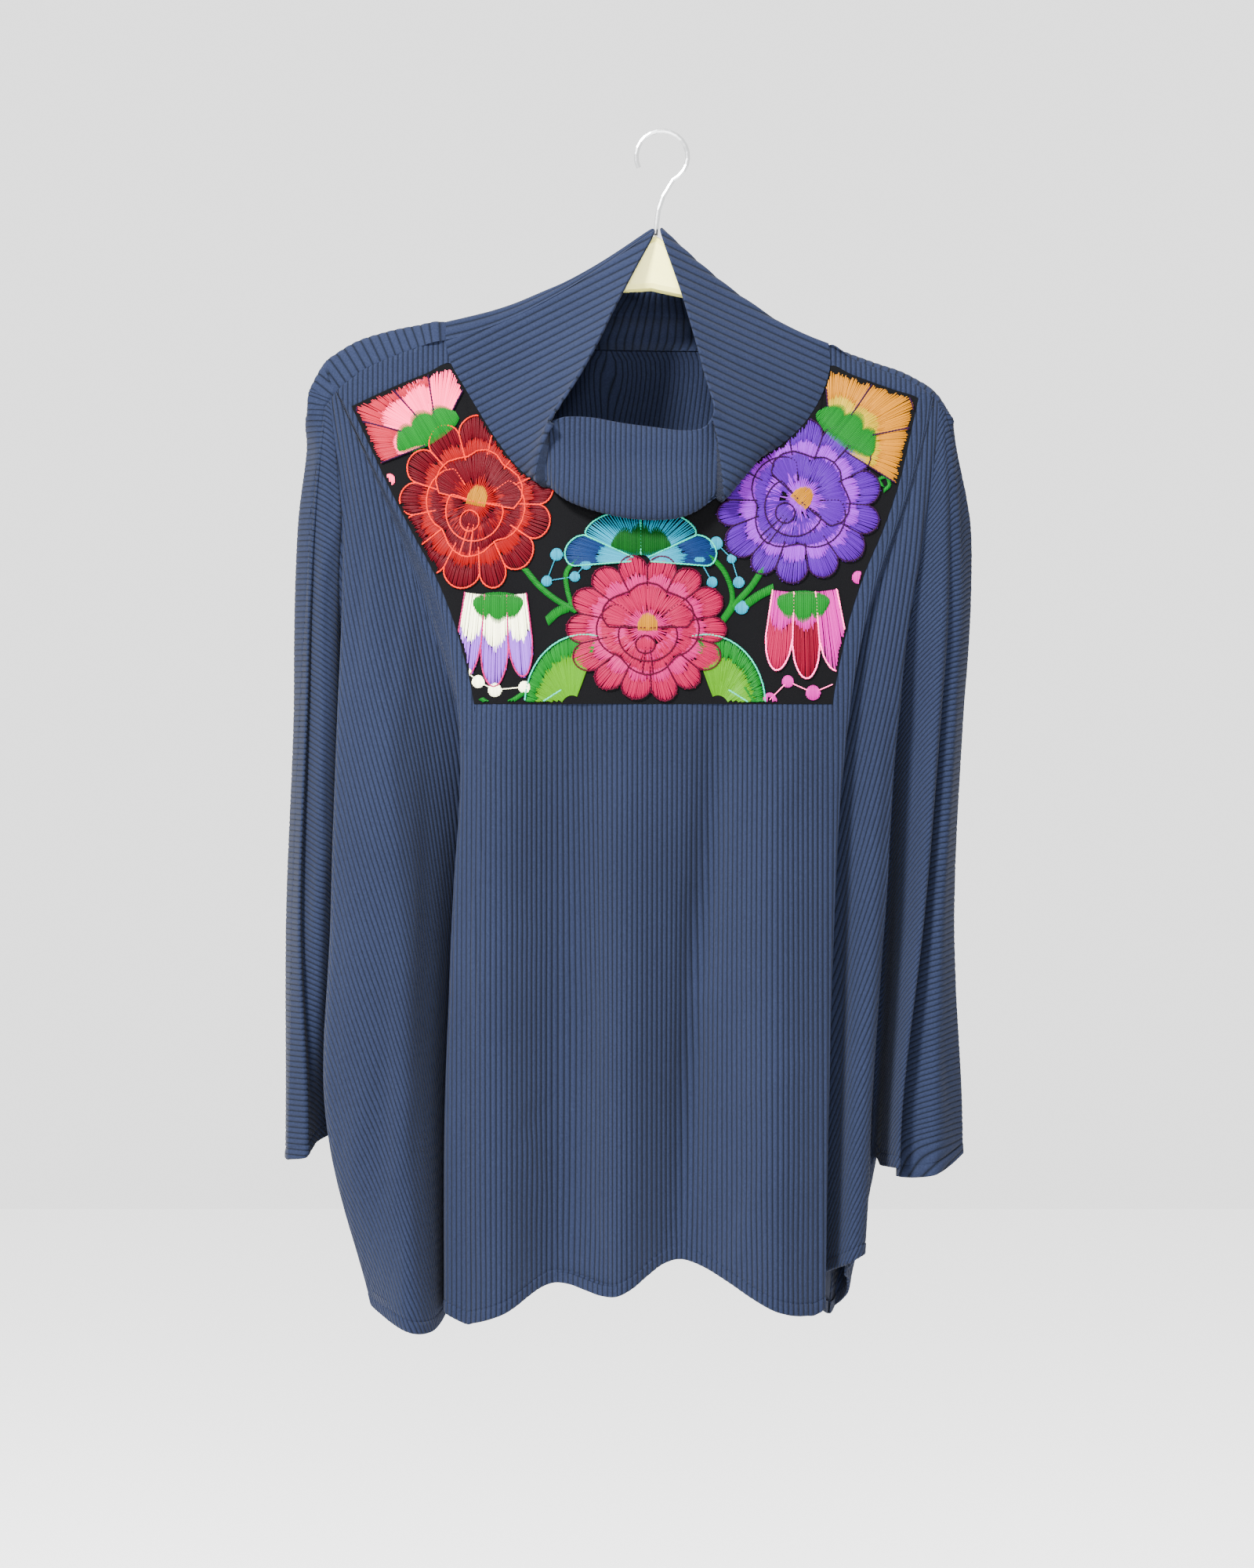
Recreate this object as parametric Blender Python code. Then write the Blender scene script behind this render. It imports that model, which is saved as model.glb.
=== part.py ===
"""A long sleeve dolman top in rib knit with an embroidered yoke, hanging on its hanger.

Millimetres in the tables, metres in the scene. X is to the wearer's left in front view (the viewer's right),
the viewer stands at -Y, Z is up. The origin is the inside of the hook's crown, where the rail carries it.
"""

import math
from collections import namedtuple

import bmesh
import bpy
import numpy as np
from mathutils import Vector
from mathutils.bvhtree import BVHTree

MM = 0.001

# Cloth
KNIT_WALL = 1.6
YOKE_WALL = 1.4
COLLAR_WALL = 2.6
SEAM_GAP = 0.36
COLLAR_SEAM_GAP = 0.9
UNDERARM_GAP = 2.2

# Hanger, drawn upright and then tilted about the hook's crown
HANGER_TILT = math.radians(4.5)
ARM_THICKNESS = 14.0
ARM_EDGE_RADIUS = 5.0
ARM_END_TAPER = 0.06
HOOK_WIRE = 3.5
HOOK_RADIUS = 17.0
HOOK_GAP = 0.3

# Rows of the panels' mesh, from the shoulder seam down
BAND_ROW = 1
BEHIND_ROW = 4
YOKE_ROW = 8
UNDERARM_ROW = 13
HEM_ROW = 19
YOKE_HEM_Z = -416
UNDERARM_Z = -620

# Heights at which each fold line of the panels has a place
LEVELS = (-270, -340, -416, -576, -712, -850)

# One fold line of a panel: the mesh cells to the next line, its X and Y at LEVELS, and its lower end's Z
Fold = namedtuple("Fold", "name cells x y hem")

FRONT_FOLDS = [
    Fold("left overarm seam", 1, (-255, -259, -263, -269, -272, -274), (-14, -14, -14, -14, -14, -14), -745),
    Fold("left strip edge", 1, (-252, -256, -258, -263, -259, -261), (-17, -20, -24, -27, -24, -20), -743),
    Fold("left sleeve groove", 1, (-251, -254, -257, -261, -256, -258), (-16, -17, -18, -20, -18, -16), -739),
    Fold("left sleeve crest", 2, (-245, -247, -248, -249, -252, -253), (-20, -26, -30, -30, -8, -6), -733),
    Fold("left sleeve inner edge", 2, (-236, -238, -237, -239, -244, -244), (-20, -23, -24, -20, 6, 8), -729),
    Fold("left sleeve seam", 1, (-235, -235, -232, -235, -240, -238), (-18, -19, -8, 6, 18, 20), -727),
    Fold("left side seam", 2, (-233, -230, -222, -221, -224, -208), (-18, -19, -8, 6, 6, 2), -846),
    Fold("left fold outer edge", 3, (-230, -231, -234, -239, -242, -210), (-20, -28, -36, -42, -44, -38), -848),
    Fold("left fold crest", 3, (-219, -213, -206, -198, -195, -184), (-26, -38, -50, -64, -70, -72), -862),
    Fold("left fold inner edge", 3, (-209, -197, -188, -174, -170, -165), (-28, -38, -46, -50, -52, -54), -863),
    Fold("left valley", 3, (-201, -175, -151, -149, -153, -156), (-27, -34, -28, -4, 2, 2), -852),
    Fold("centre left edge", 1, (-197, -163, -147, -151, -156, -156), (-28, -40, -48, -46, -48, -50), -852),
    Fold("yoke left edge", 4, (-193, -157, -136, -137, -141, -142), (-29, -42, -52, -54, -56, -58), -858),
    Fold("first ridge", 4, (-150, -130, -112, -112, -113, -114), (-38, -50, -57, -58, -62, -66), -850),
    Fold("first trough", 4, (-90, -84, -80, -78, -78, -79), (-48, -54, -56, -50, -48, -48), -830),
    Fold("middle ridge", 4, (-30, -32, -34, -34, -34, -34), (-52, -57, -60, -60, -62, -66), -838),
    Fold("dark trough", 4, (28, 28, 30, 22, 14, 12), (-52, -56, -58, -46, -42, -40), -814),
    Fold("right ridge", 4, (90, 82, 78, 76, 76, 76), (-40, -50, -57, -60, -64, -68), -847),
    Fold("yoke right edge", 1, (165, 137, 120, 113, 110, 107), (-29, -42, -52, -54, -56, -58), -852),
    Fold("centre right edge", 3, (172, 147, 132, 122, 117, 114), (-28, -41, -50, -50, -52, -54), -848),
    Fold("right valley", 2, (176, 151, 129, 112, 108, 107), (-26, -34, -36, -24, -18, -16), -832),
    Fold("right fold crest", 2, (182, 162, 151, 142, 135, 130), (-26, -37, -42, -42, -44, -46), -817),
    Fold("right fold outer edge", 2, (188, 176, 169, 161, 150, 141), (-24, -33, -37, -38, -38, -36), -811),
    Fold("right side seam", 1, (190, 177, 162, 146, 139, 132), (-21, -24, -16, 0, 4, 6), -822),
    Fold("right sleeve seam", 3, (192, 181, 170, 158, 152, 149), (-21, -24, -16, 0, 6, 6), -750),
    Fold("second fold edge", 2, (203, 202, 197, 185, 170, 167), (-23, -30, -32, -34, -34, -34), -750),
    Fold("right sleeve groove", 2, (206, 206, 200, 184, 171, 169), (-20, -24, -22, -16, -16, -16), -757),
    Fold("right sleeve crest", 2, (212, 214, 210, 199, 196, 195), (-17, -21, -23, -25, -26, -26), -755),
    Fold("right overarm seam", 0, (221, 223, 218, 211, 217, 218), (-4, -4, -3, -2, 0, 0), -742),
]

BACK_FOLDS = [
    FRONT_FOLDS[0],
    Fold("left outer edge", 1, (-264, -268, -269, -275, -275, -276), (2, 4, 6, 8, 10, 10), -746),
    Fold("left outer back", 1, (-263, -266, -267, -272, -270, -270), (14, 18, 20, 26, 32, 34), -743),
    Fold("left back crest", 2, (-252, -254, -254, -258, -257, -256), (20, 28, 34, 44, 50, 52), -738),
    Fold("left back inner", 2, (-240, -240, -240, -244, -247, -247), (21, 28, 32, 34, 34, 34), -731),
    Fold("left sleeve seam", 1, (-235, -235, -233, -235, -240, -238), (19, 22, 22, 16, 20, 20), -727),
    Fold("left side seam", 2, (-232, -230, -224, -221, -224, -208), (19, 22, 22, 16, 6, 2), -846),
    Fold("left fold outer edge", 3, (-230, -231, -232, -234, -232, -210), (21, 29, 36, 42, 44, 38), -846),
    Fold("left fold crest", 3, (-219, -210, -202, -192, -188, -180), (26, 37, 48, 60, 66, 68), -846),
    Fold("left fold inner edge", 3, (-209, -190, -176, -156, -150, -150), (27, 38, 46, 54, 56, 56), -846),
    Fold("left valley", 3, (-201, -174, -150, -128, -120, -122), (26, 34, 36, 32, 30, 30), -836),
    Fold("centre left edge", 1, (-197, -163, -140, -130, -128, -130), (27, 38, 48, 52, 54, 56), -838),
    Fold("yoke left edge", 4, (-193, -157, -125, -114, -110, -112), (28, 40, 52, 60, 64, 66), -836),
    Fold("first trough", 4, (-150, -118, -96, -88, -86, -88), (36, 44, 48, 50, 50, 50), -828),
    Fold("first ridge", 4, (-90, -74, -58, -52, -50, -50), (42, 50, 56, 66, 70, 72), -832),
    Fold("middle trough", 4, (-30, -20, -12, -10, -8, -8), (42, 46, 48, 48, 48, 48), -816),
    Fold("second ridge", 4, (28, 30, 32, 36, 38, 38), (40, 48, 54, 62, 66, 68), -818),
    Fold("right trough", 4, (90, 84, 78, 80, 80, 80), (36, 44, 48, 48, 50, 50), -828),
    Fold("yoke right edge", 1, (165, 137, 118, 114, 112, 108), (28, 40, 52, 60, 62, 64), -850),
    Fold("centre right edge", 3, (172, 149, 132, 126, 122, 116), (27, 38, 50, 56, 58, 58), -860),
    Fold("right valley", 2, (176, 156, 142, 136, 132, 122), (25, 31, 34, 28, 26, 24), -861),
    Fold("right fold crest", 2, (182, 168, 160, 152, 148, 127), (25, 34, 42, 50, 52, 42), -858),
    Fold("right fold outer edge", 2, (188, 179, 174, 168, 162, 134), (24, 31, 36, 40, 38, 28), -846),
    Fold("right side seam", 1, (190, 179, 166, 149, 139, 132), (20, 21, 20, 12, 4, 6), -822),
    Fold("right sleeve seam", 3, (192, 183, 175, 161, 152, 149), (20, 21, 20, 12, 6, 6), -750),
    Fold("second fold edge", 2, (203, 201, 195, 188, 182, 181), (22, 29, 33, 36, 38, 38), -752),
    Fold("right outer groove", 2, (208, 207, 203, 198, 196, 196), (20, 26, 30, 33, 36, 36), -753),
    Fold("right outer back", 2, (216, 218, 214, 208, 212, 213), (10, 14, 16, 18, 20, 20), -748),
    FRONT_FOLDS[-1],
]

LEFT_SLEEVE_LINE = 5
LEFT_SIDE_LINE = 6
YOKE_LEFT_LINE = 12
YOKE_RIGHT_LINE = 18
RIGHT_SIDE_LINE = 23
RIGHT_SLEEVE_LINE = 24
STRAP_CELLS = 4

# The shoulder seams lie in front of the hanger's arms: (x, y, z) from the overarm seam up to the neck
LEFT_SHOULDER = [(-246, -11, -200), (-234, -12, -185), (-214, -12, -171), (-192, -12, -162), (-172, -12, -155),
                 (-158, -12, -152)]
RIGHT_SHOULDER = [(204, -9, -203), (190, -11, -187), (170, -11, -178), (152, -11, -171), (134, -11, -164),
                  (119, -12, -156)]
# The front neckline from the left corner to the right one, under the collar
FRONT_NECK = [(-154, -14, -169), (-133, -20, -205), (-112, -30, -236), (-95, -38, -254), (-74, -44, -263),
              (-40, -49, -268), (-6, -51, -270), (22, -48, -265), (40, -43, -256), (64, -36, -241),
              (98, -26, -216), (116, -18, -186), (120, -14, -171)]
YOKE_CORNERS = {"left": (-226, -15, -200), "right": (184, -14, -194)}
# The upper outline, where the cloth lies over the hanger: from the overarm seam up to the neck
LEFT_RIDGE = [(-260, 0, -204), (-258, 0, -191), (-252.5, 0, -178.5), (-245.5, 0, -167.5), (-234.5, 0, -158.5),
              (-225, 0, -153.5), (-209, 0, -147.5), (-198, 0, -144.8), (-180, 0, -141), (-158, 0, -138.5)]
RIGHT_RIDGE = [(212, 0, -213), (205, 0, -201), (198, 0, -190.5), (189, 0, -183), (180, 0, -177.5), (162, 0, -171),
               (144, 0, -164.5), (134, 0, -161), (119, 0, -156)]
SEAM_CORNER = 0.16
RIDGE_CORNER = 0.33

# The back neckline from the left corner to the right one, behind the hanger
BACK_NECK = [(-150, 14, -150), (-110, 24, -151.5), (-60, 34, -154), (-5, 38, -155), (45, 35, -155),
             (88, 26, -154.5), (116, 14, -157)]

# The top of the hanger, and its lower edge, upright: distance from the middle, Z
ARM_TOP = [(0, -75), (6, -76.5), (8.5, -82), (13, -87), (22, -95), (36, -107), (60, -121), (90, -136), (120, -148),
           (150, -156), (180, -163), (196, -168), (206, -174), (211, -180), (213, -191)]
ARM_LOWER = [(0, -115), (40, -122), (80, -142), (120, -163), (160, -178), (196, -192), (208, -198), (213, -201)]

# The collar's rim: place along the neckline (0 to 1 is the front, 1 to 2 the back), rim point, and how far the
# strip stands out, droops over its seam and sags midway there
Station = namedtuple("Station", "at rim belly droop sag")
COLLAR = [
    Station(0.00, (-14, -9, -79), 2, 2, 9),
    Station(0.05, (-20, -17, -96), 3, 2, 8),
    Station(0.16, (-36, -32, -130), 5, 0, 4),
    Station(0.26, (-53, -45, -166), 7, 0, 0),
    Station(0.34, (-80, -62, -217), 7, 2, 0),
    Station(0.40, (-67, -55, -211), 14, 14, 0),
    Station(0.48, (-38, -49, -215), 18, 24, 0),
    Station(0.56, (-6, -48, -219), 19, 25, 0),
    Station(0.63, (20, -50, -221), 15, 16, 0),
    Station(0.70, (35, -57, -213), 12, 4, 0),
    Station(0.79, (28, -49, -174), 7, 0, 0),
    Station(0.90, (17, -34, -132), 5, 0, 4),
    Station(0.97, (8, -16, -96), 4, 1, 8),
    Station(1.00, (5, -9, -80), 3, 2, 9),
    Station(1.06, (2, 0, -74), 0, 0, 10),
    Station(1.12, (8, 11, -86), 2, 0, 6),
    Station(1.24, (24, 28, -98), 3, 0, 0),
    Station(1.38, (22, 42, -100), 6, 0, 0),
    Station(1.50, (-6, 47, -98), 7, 0, 0),
    Station(1.62, (-30, 42, -99), 6, 0, 0),
    Station(1.76, (-34, 28, -98), 3, 0, 0),
    Station(1.88, (-22, 11, -86), 2, 0, 6),
    Station(1.94, (-14, 0, -74), 0, 0, 10),
    Station(2.00, (-14, -9, -79), 2, 2, 9),
]
COLLAR_ROWS = 8

# The embroidered motifs on the yoke: centre, half width and half height, turn in degrees, petals, outline points
Motif = namedtuple("Motif", "name kind x z wide tall turn petals points colour")
PETAL_DEPTH = 0.16
PAD_THICKNESS = 1.0
PAD_RINGS = (0.25, 0.5, 0.75, 1.0)
YOKE_TO_PAD = 0.85
PAD_MARGIN = 2.0
PAD_NECK_MARGIN = 11.0
PAD_SPACE = 2.6

# Colours in linear light
RED = (0.70, 0.01, 0.02)
PURPLE = (0.22, 0.05, 0.55)
PINK = (0.85, 0.03, 0.22)
TURQUOISE = (0.0, 0.33, 0.55)
SALMON = (0.80, 0.24, 0.24)
YELLOW = (0.85, 0.42, 0.02)
LILAC = (0.45, 0.35, 0.65)
MAGENTA = (0.65, 0.02, 0.18)
LIME = (0.15, 0.45, 0.03)
NAVY = (0.055, 0.085, 0.155)
BLACK_COTTON = (0.008, 0.008, 0.010)
IVORY = (0.78, 0.76, 0.57)
STEEL = (0.60, 0.60, 0.60)

MOTIFS = [
    Motif("embroidery_red_flower", "flower", -138, -270, 58, 64, 0, 13, 39, RED),
    Motif("embroidery_purple_flower", "flower", 99, -270, 60, 64, 8, 13, 39, PURPLE),
    Motif("embroidery_pink_flower", "flower", -12, -362, 60, 56, 0, 14, 42, PINK),
    Motif("embroidery_turquoise_bell", "bell", -17, -290, 54, 24, 0, 5, 20, TURQUOISE),
    Motif("embroidery_salmon_bell", "bell", -194, -207, 34, 30, 40, 4, 20, SALMON),
    Motif("embroidery_yellow_bell", "bell", 158, -211, 32, 36, -45, 4, 20, YELLOW),
    Motif("embroidery_lilac_bell", "bell", -121, -368, 31, 33, 10, 4, 20, LILAC),
    Motif("embroidery_magenta_bell", "bell", 100, -364, 34, 32, -8, 4, 20, MAGENTA),
    Motif("embroidery_left_leaf", "leaf", -80, -395, 17, 22, 0, 0, 14, LIME),
    Motif("embroidery_right_leaf", "leaf", 58, -392, 17, 22, 0, 0, 14, LIME),
]


def hermite(keys, values, at):
    """A smooth curve through values at rising keys, read at each place of at. It doesn't overshoot."""
    keys = np.asarray(keys, float)
    values = np.asarray(values, float)
    values = values.reshape(len(keys), -1)
    at = np.atleast_1d(np.asarray(at, float))
    steps = np.diff(keys)
    slopes = np.diff(values, axis=0) / steps[:, None]
    tangents = np.empty_like(values)
    tangents[0] = slopes[0]
    tangents[-1] = slopes[-1]
    for i in range(1, len(keys) - 1):
        weight = steps[i] / (steps[i - 1] + steps[i])
        tangents[i] = weight * slopes[i - 1] + (1 - weight) * slopes[i]
    cell = np.clip(np.searchsorted(keys, at, "right") - 1, 0, len(steps) - 1)
    width = steps[cell][:, None]
    t = ((at - keys[cell])[:, None]) / width
    start = values[cell]
    end = values[cell + 1]
    return (
        (2 * t**3 - 3 * t**2 + 1) * start
        + (t**3 - 2 * t**2 + t) * width * tangents[cell]
        + (3 * t**2 - 2 * t**3) * end
        + (t**3 - t**2) * width * tangents[cell + 1]
    )


def along(points, fractions):
    """Points at these fractions of the length of a smooth curve through points."""
    points = np.asarray(points, float)
    keys = np.concatenate([[0], np.cumsum(np.linalg.norm(np.diff(points, axis=0), axis=1))])
    return hermite(keys / keys[-1], points, fractions)


def spread(start, end, count):
    return np.linspace(start, end, count + 1)


def column_of(line, folds):
    return sum(fold.cells for fold in folds[:line])


def line_points(fold, top, rows_z):
    """One fold line from its top point, through its places at LEVELS, at each row's height."""
    keys = np.array([top, *zip(fold.x, fold.y, LEVELS)], float)
    return hermite(-keys[:, 2], keys, -rows_z)


def shoulder_places():
    """The shoulder seam point of each mesh column, left wing, left strap, right strap and right wing."""
    left_wing = YOKE_LEFT_LINE
    right_wing = len(FRONT_FOLDS) - 1 - YOKE_RIGHT_LINE
    corner = SEAM_CORNER
    left = {
        "lines": along(LEFT_SHOULDER, spread(0, corner, left_wing)),
        "strap": along(LEFT_SHOULDER, spread(corner, 1, STRAP_CELLS)),
    }
    right = {
        "lines": along(RIGHT_SHOULDER, spread(corner, 0, right_wing)),
        "strap": along(RIGHT_SHOULDER, spread(1, corner, STRAP_CELLS)),
    }
    return left, right


def rows_between(start, end, first, last):
    """Heights from start to end for the mesh rows first to last."""
    return spread(start, end, last - first)


def wing_lines(folds, indices, tops, behind):
    """The rows of each fold line of a wing, from the shoulder seam to the cuff or hem."""
    lines = {}
    count = len(indices) - 1
    for place, index in enumerate(indices):
        fold = folds[index]
        top = tops[place]
        on_seam = index in (0, len(folds) - 1)
        share = place / count
        rows = np.zeros((HEM_ROW + 1, 3))
        if on_seam:
            first = rows_between(top[2], top[2] - 9 * BEHIND_ROW, 0, BEHIND_ROW)
            start_row = BEHIND_ROW
            start = None
        elif behind is None:
            first = np.array([top[2], top[2] - 14])
            start_row = BAND_ROW
            start = None
        else:
            first, start = behind(top, share)
            rows[: BEHIND_ROW + 1] = first
            start_row = BEHIND_ROW
        low = rows[start_row, 2] if start is not None else first[-1]
        heights = np.concatenate([
            rows_between(low, YOKE_HEM_Z, start_row, YOKE_ROW),
            rows_between(YOKE_HEM_Z, UNDERARM_Z, YOKE_ROW, UNDERARM_ROW)[1:],
            rows_between(UNDERARM_Z, fold.hem, UNDERARM_ROW, HEM_ROW)[1:],
        ])
        if start is None:
            heights = np.concatenate([first[:-1], heights])
            rows[:] = line_points(fold, top, heights)
        else:
            rows[start_row:] = line_points(fold, start, heights)
        lines[index] = rows
    return lines


def arch(top, ridge, back):
    """Rows over the hanger's arm: from the seam in front, over the ridge, to the back."""
    top = np.asarray(top, float)
    ridge = np.asarray(ridge, float)
    back = np.asarray(back, float)
    return np.array([
        top,
        top * 0.1 + ridge * 0.9 + np.array([0, -5.2, 0]),
        ridge,
        back * 0.12 + ridge * 0.88 + np.array([0, 5.0, 0.6]),
        back,
    ])


def left_arch(top, share):
    ridge = along(LEFT_RIDGE, share * RIDGE_CORNER)[0]
    back = (ridge[0] * 0.85 + top[0] * 0.15, 9 + 4 * share, -236 + 50 * share)
    side = np.array([top, (-254, -9, -207), (-258.5, -3, -212), (-260, 3, -221), (-260.5, 7, -233)])
    over = min(1, share / 0.3)
    rows = arch(top, ridge, back) * over + side * (1 - over)
    return rows, tuple(rows[-1])


def right_arch(top, share):
    ridge = along(RIGHT_RIDGE, (1 - share) * RIDGE_CORNER)[0]
    back = (ridge[0], 13 - 5 * share, -198 - 40 * share)
    return arch(top, ridge, back), back


def coons(left, right, top, bottom):
    """A patch between two side curves and a top and bottom curve, as rows of points."""
    rows = len(left)
    columns = len(top)
    u = np.linspace(0, 1, columns)[None, :, None]
    v = np.linspace(0, 1, rows)[:, None, None]
    sides = (1 - u) * left[:, None, :] + u * right[:, None, :]
    ends = (1 - v) * top[None, :, :] + v * bottom[None, :, :]
    corners = (
        (1 - u) * (1 - v) * top[0] + u * (1 - v) * top[-1] + (1 - u) * v * bottom[0] + u * v * bottom[-1]
    )
    return sides + ends - corners


def across(lines, folds, groups):
    """All mesh columns of a panel, from its fold lines, a smooth curve in each group of lines."""
    columns = column_of(len(folds) - 1, folds) + 1
    grid = np.zeros((HEM_ROW + 1, columns, 3))
    for first, last in groups:
        place = []
        for line in range(first, last):
            cells = folds[line].cells
            place += [line + step / cells for step in range(cells)]
        place.append(last)
        start = column_of(first, folds)
        for row in range(HEM_ROW + 1):
            keys = np.array([lines[line][row] for line in range(first, last + 1)])
            grid[row, start : start + len(place)] = hermite(range(first, last + 1), keys, place)
    return grid


def panel_grid(folds, behind, neck, strap_rows):
    """The middle surface of the front or the back, rows by columns."""
    left, right = shoulder_places()
    wings = (None, None) if behind is None else behind
    lines = wing_lines(folds, range(0, YOKE_LEFT_LINE + 1), left["lines"], wings[0])
    lines |= wing_lines(folds, range(YOKE_RIGHT_LINE, len(folds)), right["lines"], wings[1])
    top_row = BAND_ROW if behind is None else BEHIND_ROW
    if behind is None:
        for line, side in ((YOKE_LEFT_LINE, "left"), (YOKE_RIGHT_LINE, "right")):
            corner = YOKE_CORNERS[side]
            heights = -lines[line][BAND_ROW:, 2]
            heights[: YOKE_ROW - BAND_ROW + 1] = -rows_between(corner[2], YOKE_HEM_Z, BAND_ROW, YOKE_ROW)
            lines[line][BAND_ROW:] = line_points(folds[line], corner, -heights)
    for line in range(YOKE_LEFT_LINE + 1, YOKE_RIGHT_LINE):
        fold = folds[line]
        heights = np.concatenate([
            np.full(YOKE_ROW, YOKE_HEM_Z),
            rows_between(YOKE_HEM_Z, UNDERARM_Z, YOKE_ROW, UNDERARM_ROW),
            rows_between(UNDERARM_Z, fold.hem, UNDERARM_ROW, HEM_ROW)[1:],
        ])
        keys = np.array([(x, y, z) for x, y, z in zip(fold.x, fold.y, LEVELS)], float)
        lines[line] = hermite(-keys[:, 2], keys, -heights)
    last = len(folds) - 1
    groups = [
        (0, LEFT_SLEEVE_LINE),
        (LEFT_SLEEVE_LINE, LEFT_SIDE_LINE),
        (LEFT_SIDE_LINE, RIGHT_SIDE_LINE),
        (RIGHT_SIDE_LINE, RIGHT_SLEEVE_LINE),
        (RIGHT_SLEEVE_LINE, last),
    ]
    grid = across(lines, folds, groups)
    # Above the yoke's hem the middle is a patch between the wings, from the neckline down.
    first = column_of(YOKE_LEFT_LINE, folds)
    end = column_of(YOKE_RIGHT_LINE, folds)
    upper = [(0, LEFT_SLEEVE_LINE), (LEFT_SLEEVE_LINE, LEFT_SIDE_LINE), (LEFT_SIDE_LINE, YOKE_LEFT_LINE)]
    upper += [(YOKE_RIGHT_LINE, RIGHT_SIDE_LINE), (RIGHT_SIDE_LINE, RIGHT_SLEEVE_LINE), (RIGHT_SLEEVE_LINE, last)]
    above = across(lines, folds, upper)
    grid[:YOKE_ROW, : first + 1] = above[:YOKE_ROW, : first + 1]
    grid[:YOKE_ROW, end:] = above[:YOKE_ROW, end:]
    straps_left, straps_right = strap_rows(left["strap"], right["strap"], grid[:, first], grid[:, end])
    neck_cells = end - first - 2 * STRAP_CELLS
    neckline = along(neck, spread(0, 1, neck_cells))
    top = np.concatenate([straps_left[top_row][:-1], neckline, straps_right[top_row][1:]])
    grid[top_row : YOKE_ROW + 1, first : end + 1] = coons(
        grid[top_row : YOKE_ROW + 1, first], grid[top_row : YOKE_ROW + 1, end], top, grid[YOKE_ROW, first : end + 1]
    )
    for row in range(top_row):
        grid[row, first : first + STRAP_CELLS + 1] = straps_left[row]
        grid[row, first + STRAP_CELLS : end - STRAP_CELLS + 1] = neckline
        grid[row, first + STRAP_CELLS] = straps_left[row][-1]
        grid[row, end - STRAP_CELLS : end + 1] = straps_right[row]
    return grid


def front_straps(left_seam, right_seam, left_line, right_line):
    """The narrow knit band over each upper corner of the yoke."""
    left_edge = along([left_line[BAND_ROW], (-196, -15, -186), FRONT_NECK[0]], spread(0, 1, STRAP_CELLS))
    right_edge = along([FRONT_NECK[-1], (152, -15, -183), right_line[BAND_ROW]], spread(0, 1, STRAP_CELLS))
    return [left_seam, left_edge], [right_seam, right_edge]


def back_straps(left_seam, right_seam, left_line, right_line):
    """The cloth over the hanger's arms, from the seams in front to behind the arms."""
    left_rows = np.zeros((BEHIND_ROW + 1, STRAP_CELLS + 1, 3))
    right_rows = np.zeros((BEHIND_ROW + 1, STRAP_CELLS + 1, 3))
    for place in range(STRAP_CELLS + 1):
        share = place / STRAP_CELLS
        for rows, seam, corner, line, outline, part in (
            (left_rows, left_seam, BACK_NECK[0], left_line, LEFT_RIDGE, share),
            (right_rows, right_seam, BACK_NECK[-1], right_line, RIGHT_RIDGE, 1 - share),
        ):
            back = np.asarray(line[BEHIND_ROW]) * (1 - part) + np.asarray(corner) * part
            ridge = along(outline, RIDGE_CORNER + (1 - RIDGE_CORNER) * part)[0]
            rows[:, place] = arch(seam[place], ridge, back)
    left_rows[:, 0] = left_line[: BEHIND_ROW + 1]
    right_rows[:, -1] = right_line[: BEHIND_ROW + 1]
    left_rows[BEHIND_ROW, -1] = BACK_NECK[0]
    right_rows[BEHIND_ROW, 0] = BACK_NECK[-1]
    return left_rows, right_rows


def quads_of(mask, offset, columns, flip):
    """The faces of a grid where mask is set, as vertex numbers, wound to face outwards."""
    faces = []
    for row, column in np.argwhere(mask):
        a = offset + row * columns + column
        quad = (a, a + 1, a + 1 + columns, a + columns)
        faces.append(tuple(reversed(quad)) if flip else quad)
    return faces


def wrapped_quads(rows, columns, offset):
    """The faces of a closed ring of columns."""
    faces = []
    for row in range(rows - 1):
        for column in range(columns):
            a = offset + row * columns + column
            b = offset + row * columns + (column + 1) % columns
            faces.append((a, b, b + columns, a + columns))
    return faces


def face_normal(points, face):
    a, b, c, d = (points[i] for i in face)
    return np.cross(c - a, d - b)


def vertex_normals(points, faces):
    """Unit normals, shared by all pieces that meet at a point, so that walls are mitred at seams."""
    keys, same = np.unique(np.round(points, 3), axis=0, return_inverse=True)
    same = same.reshape(-1)
    total = np.zeros((len(keys), 3))
    for face in faces:
        normal = face_normal(points, face)
        normal = normal / (np.linalg.norm(normal) or 1)
        for i in face:
            total[same[i]] += normal
    length = np.linalg.norm(total, axis=1)
    length[length == 0] = 1
    return (total / length[:, None])[same]


def trimmed(points, faces, gap):
    """The points with each open edge drawn in by gap, along the cloth."""
    used = {(face[i], face[(i + 1) % 4]) for face in faces for i in range(4)}
    inward = {}
    for face in faces:
        normal = face_normal(points, face)
        normal = normal / (np.linalg.norm(normal) or 1)
        for i in range(4):
            a, b = face[i], face[(i + 1) % 4]
            if (b, a) in used:
                continue
            run = points[b] - points[a]
            length = np.linalg.norm(run)
            if length < 1e-6:
                continue
            side = np.cross(normal, run / length)
            inward.setdefault(a, []).append(side)
            inward.setdefault(b, []).append(side)
    moved = points.copy()
    for i, sides in inward.items():
        mean = np.mean(sides, axis=0)
        square = max(float(mean @ mean), 0.25)
        moved[i] = points[i] + mean / square * gap
    return moved


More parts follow.
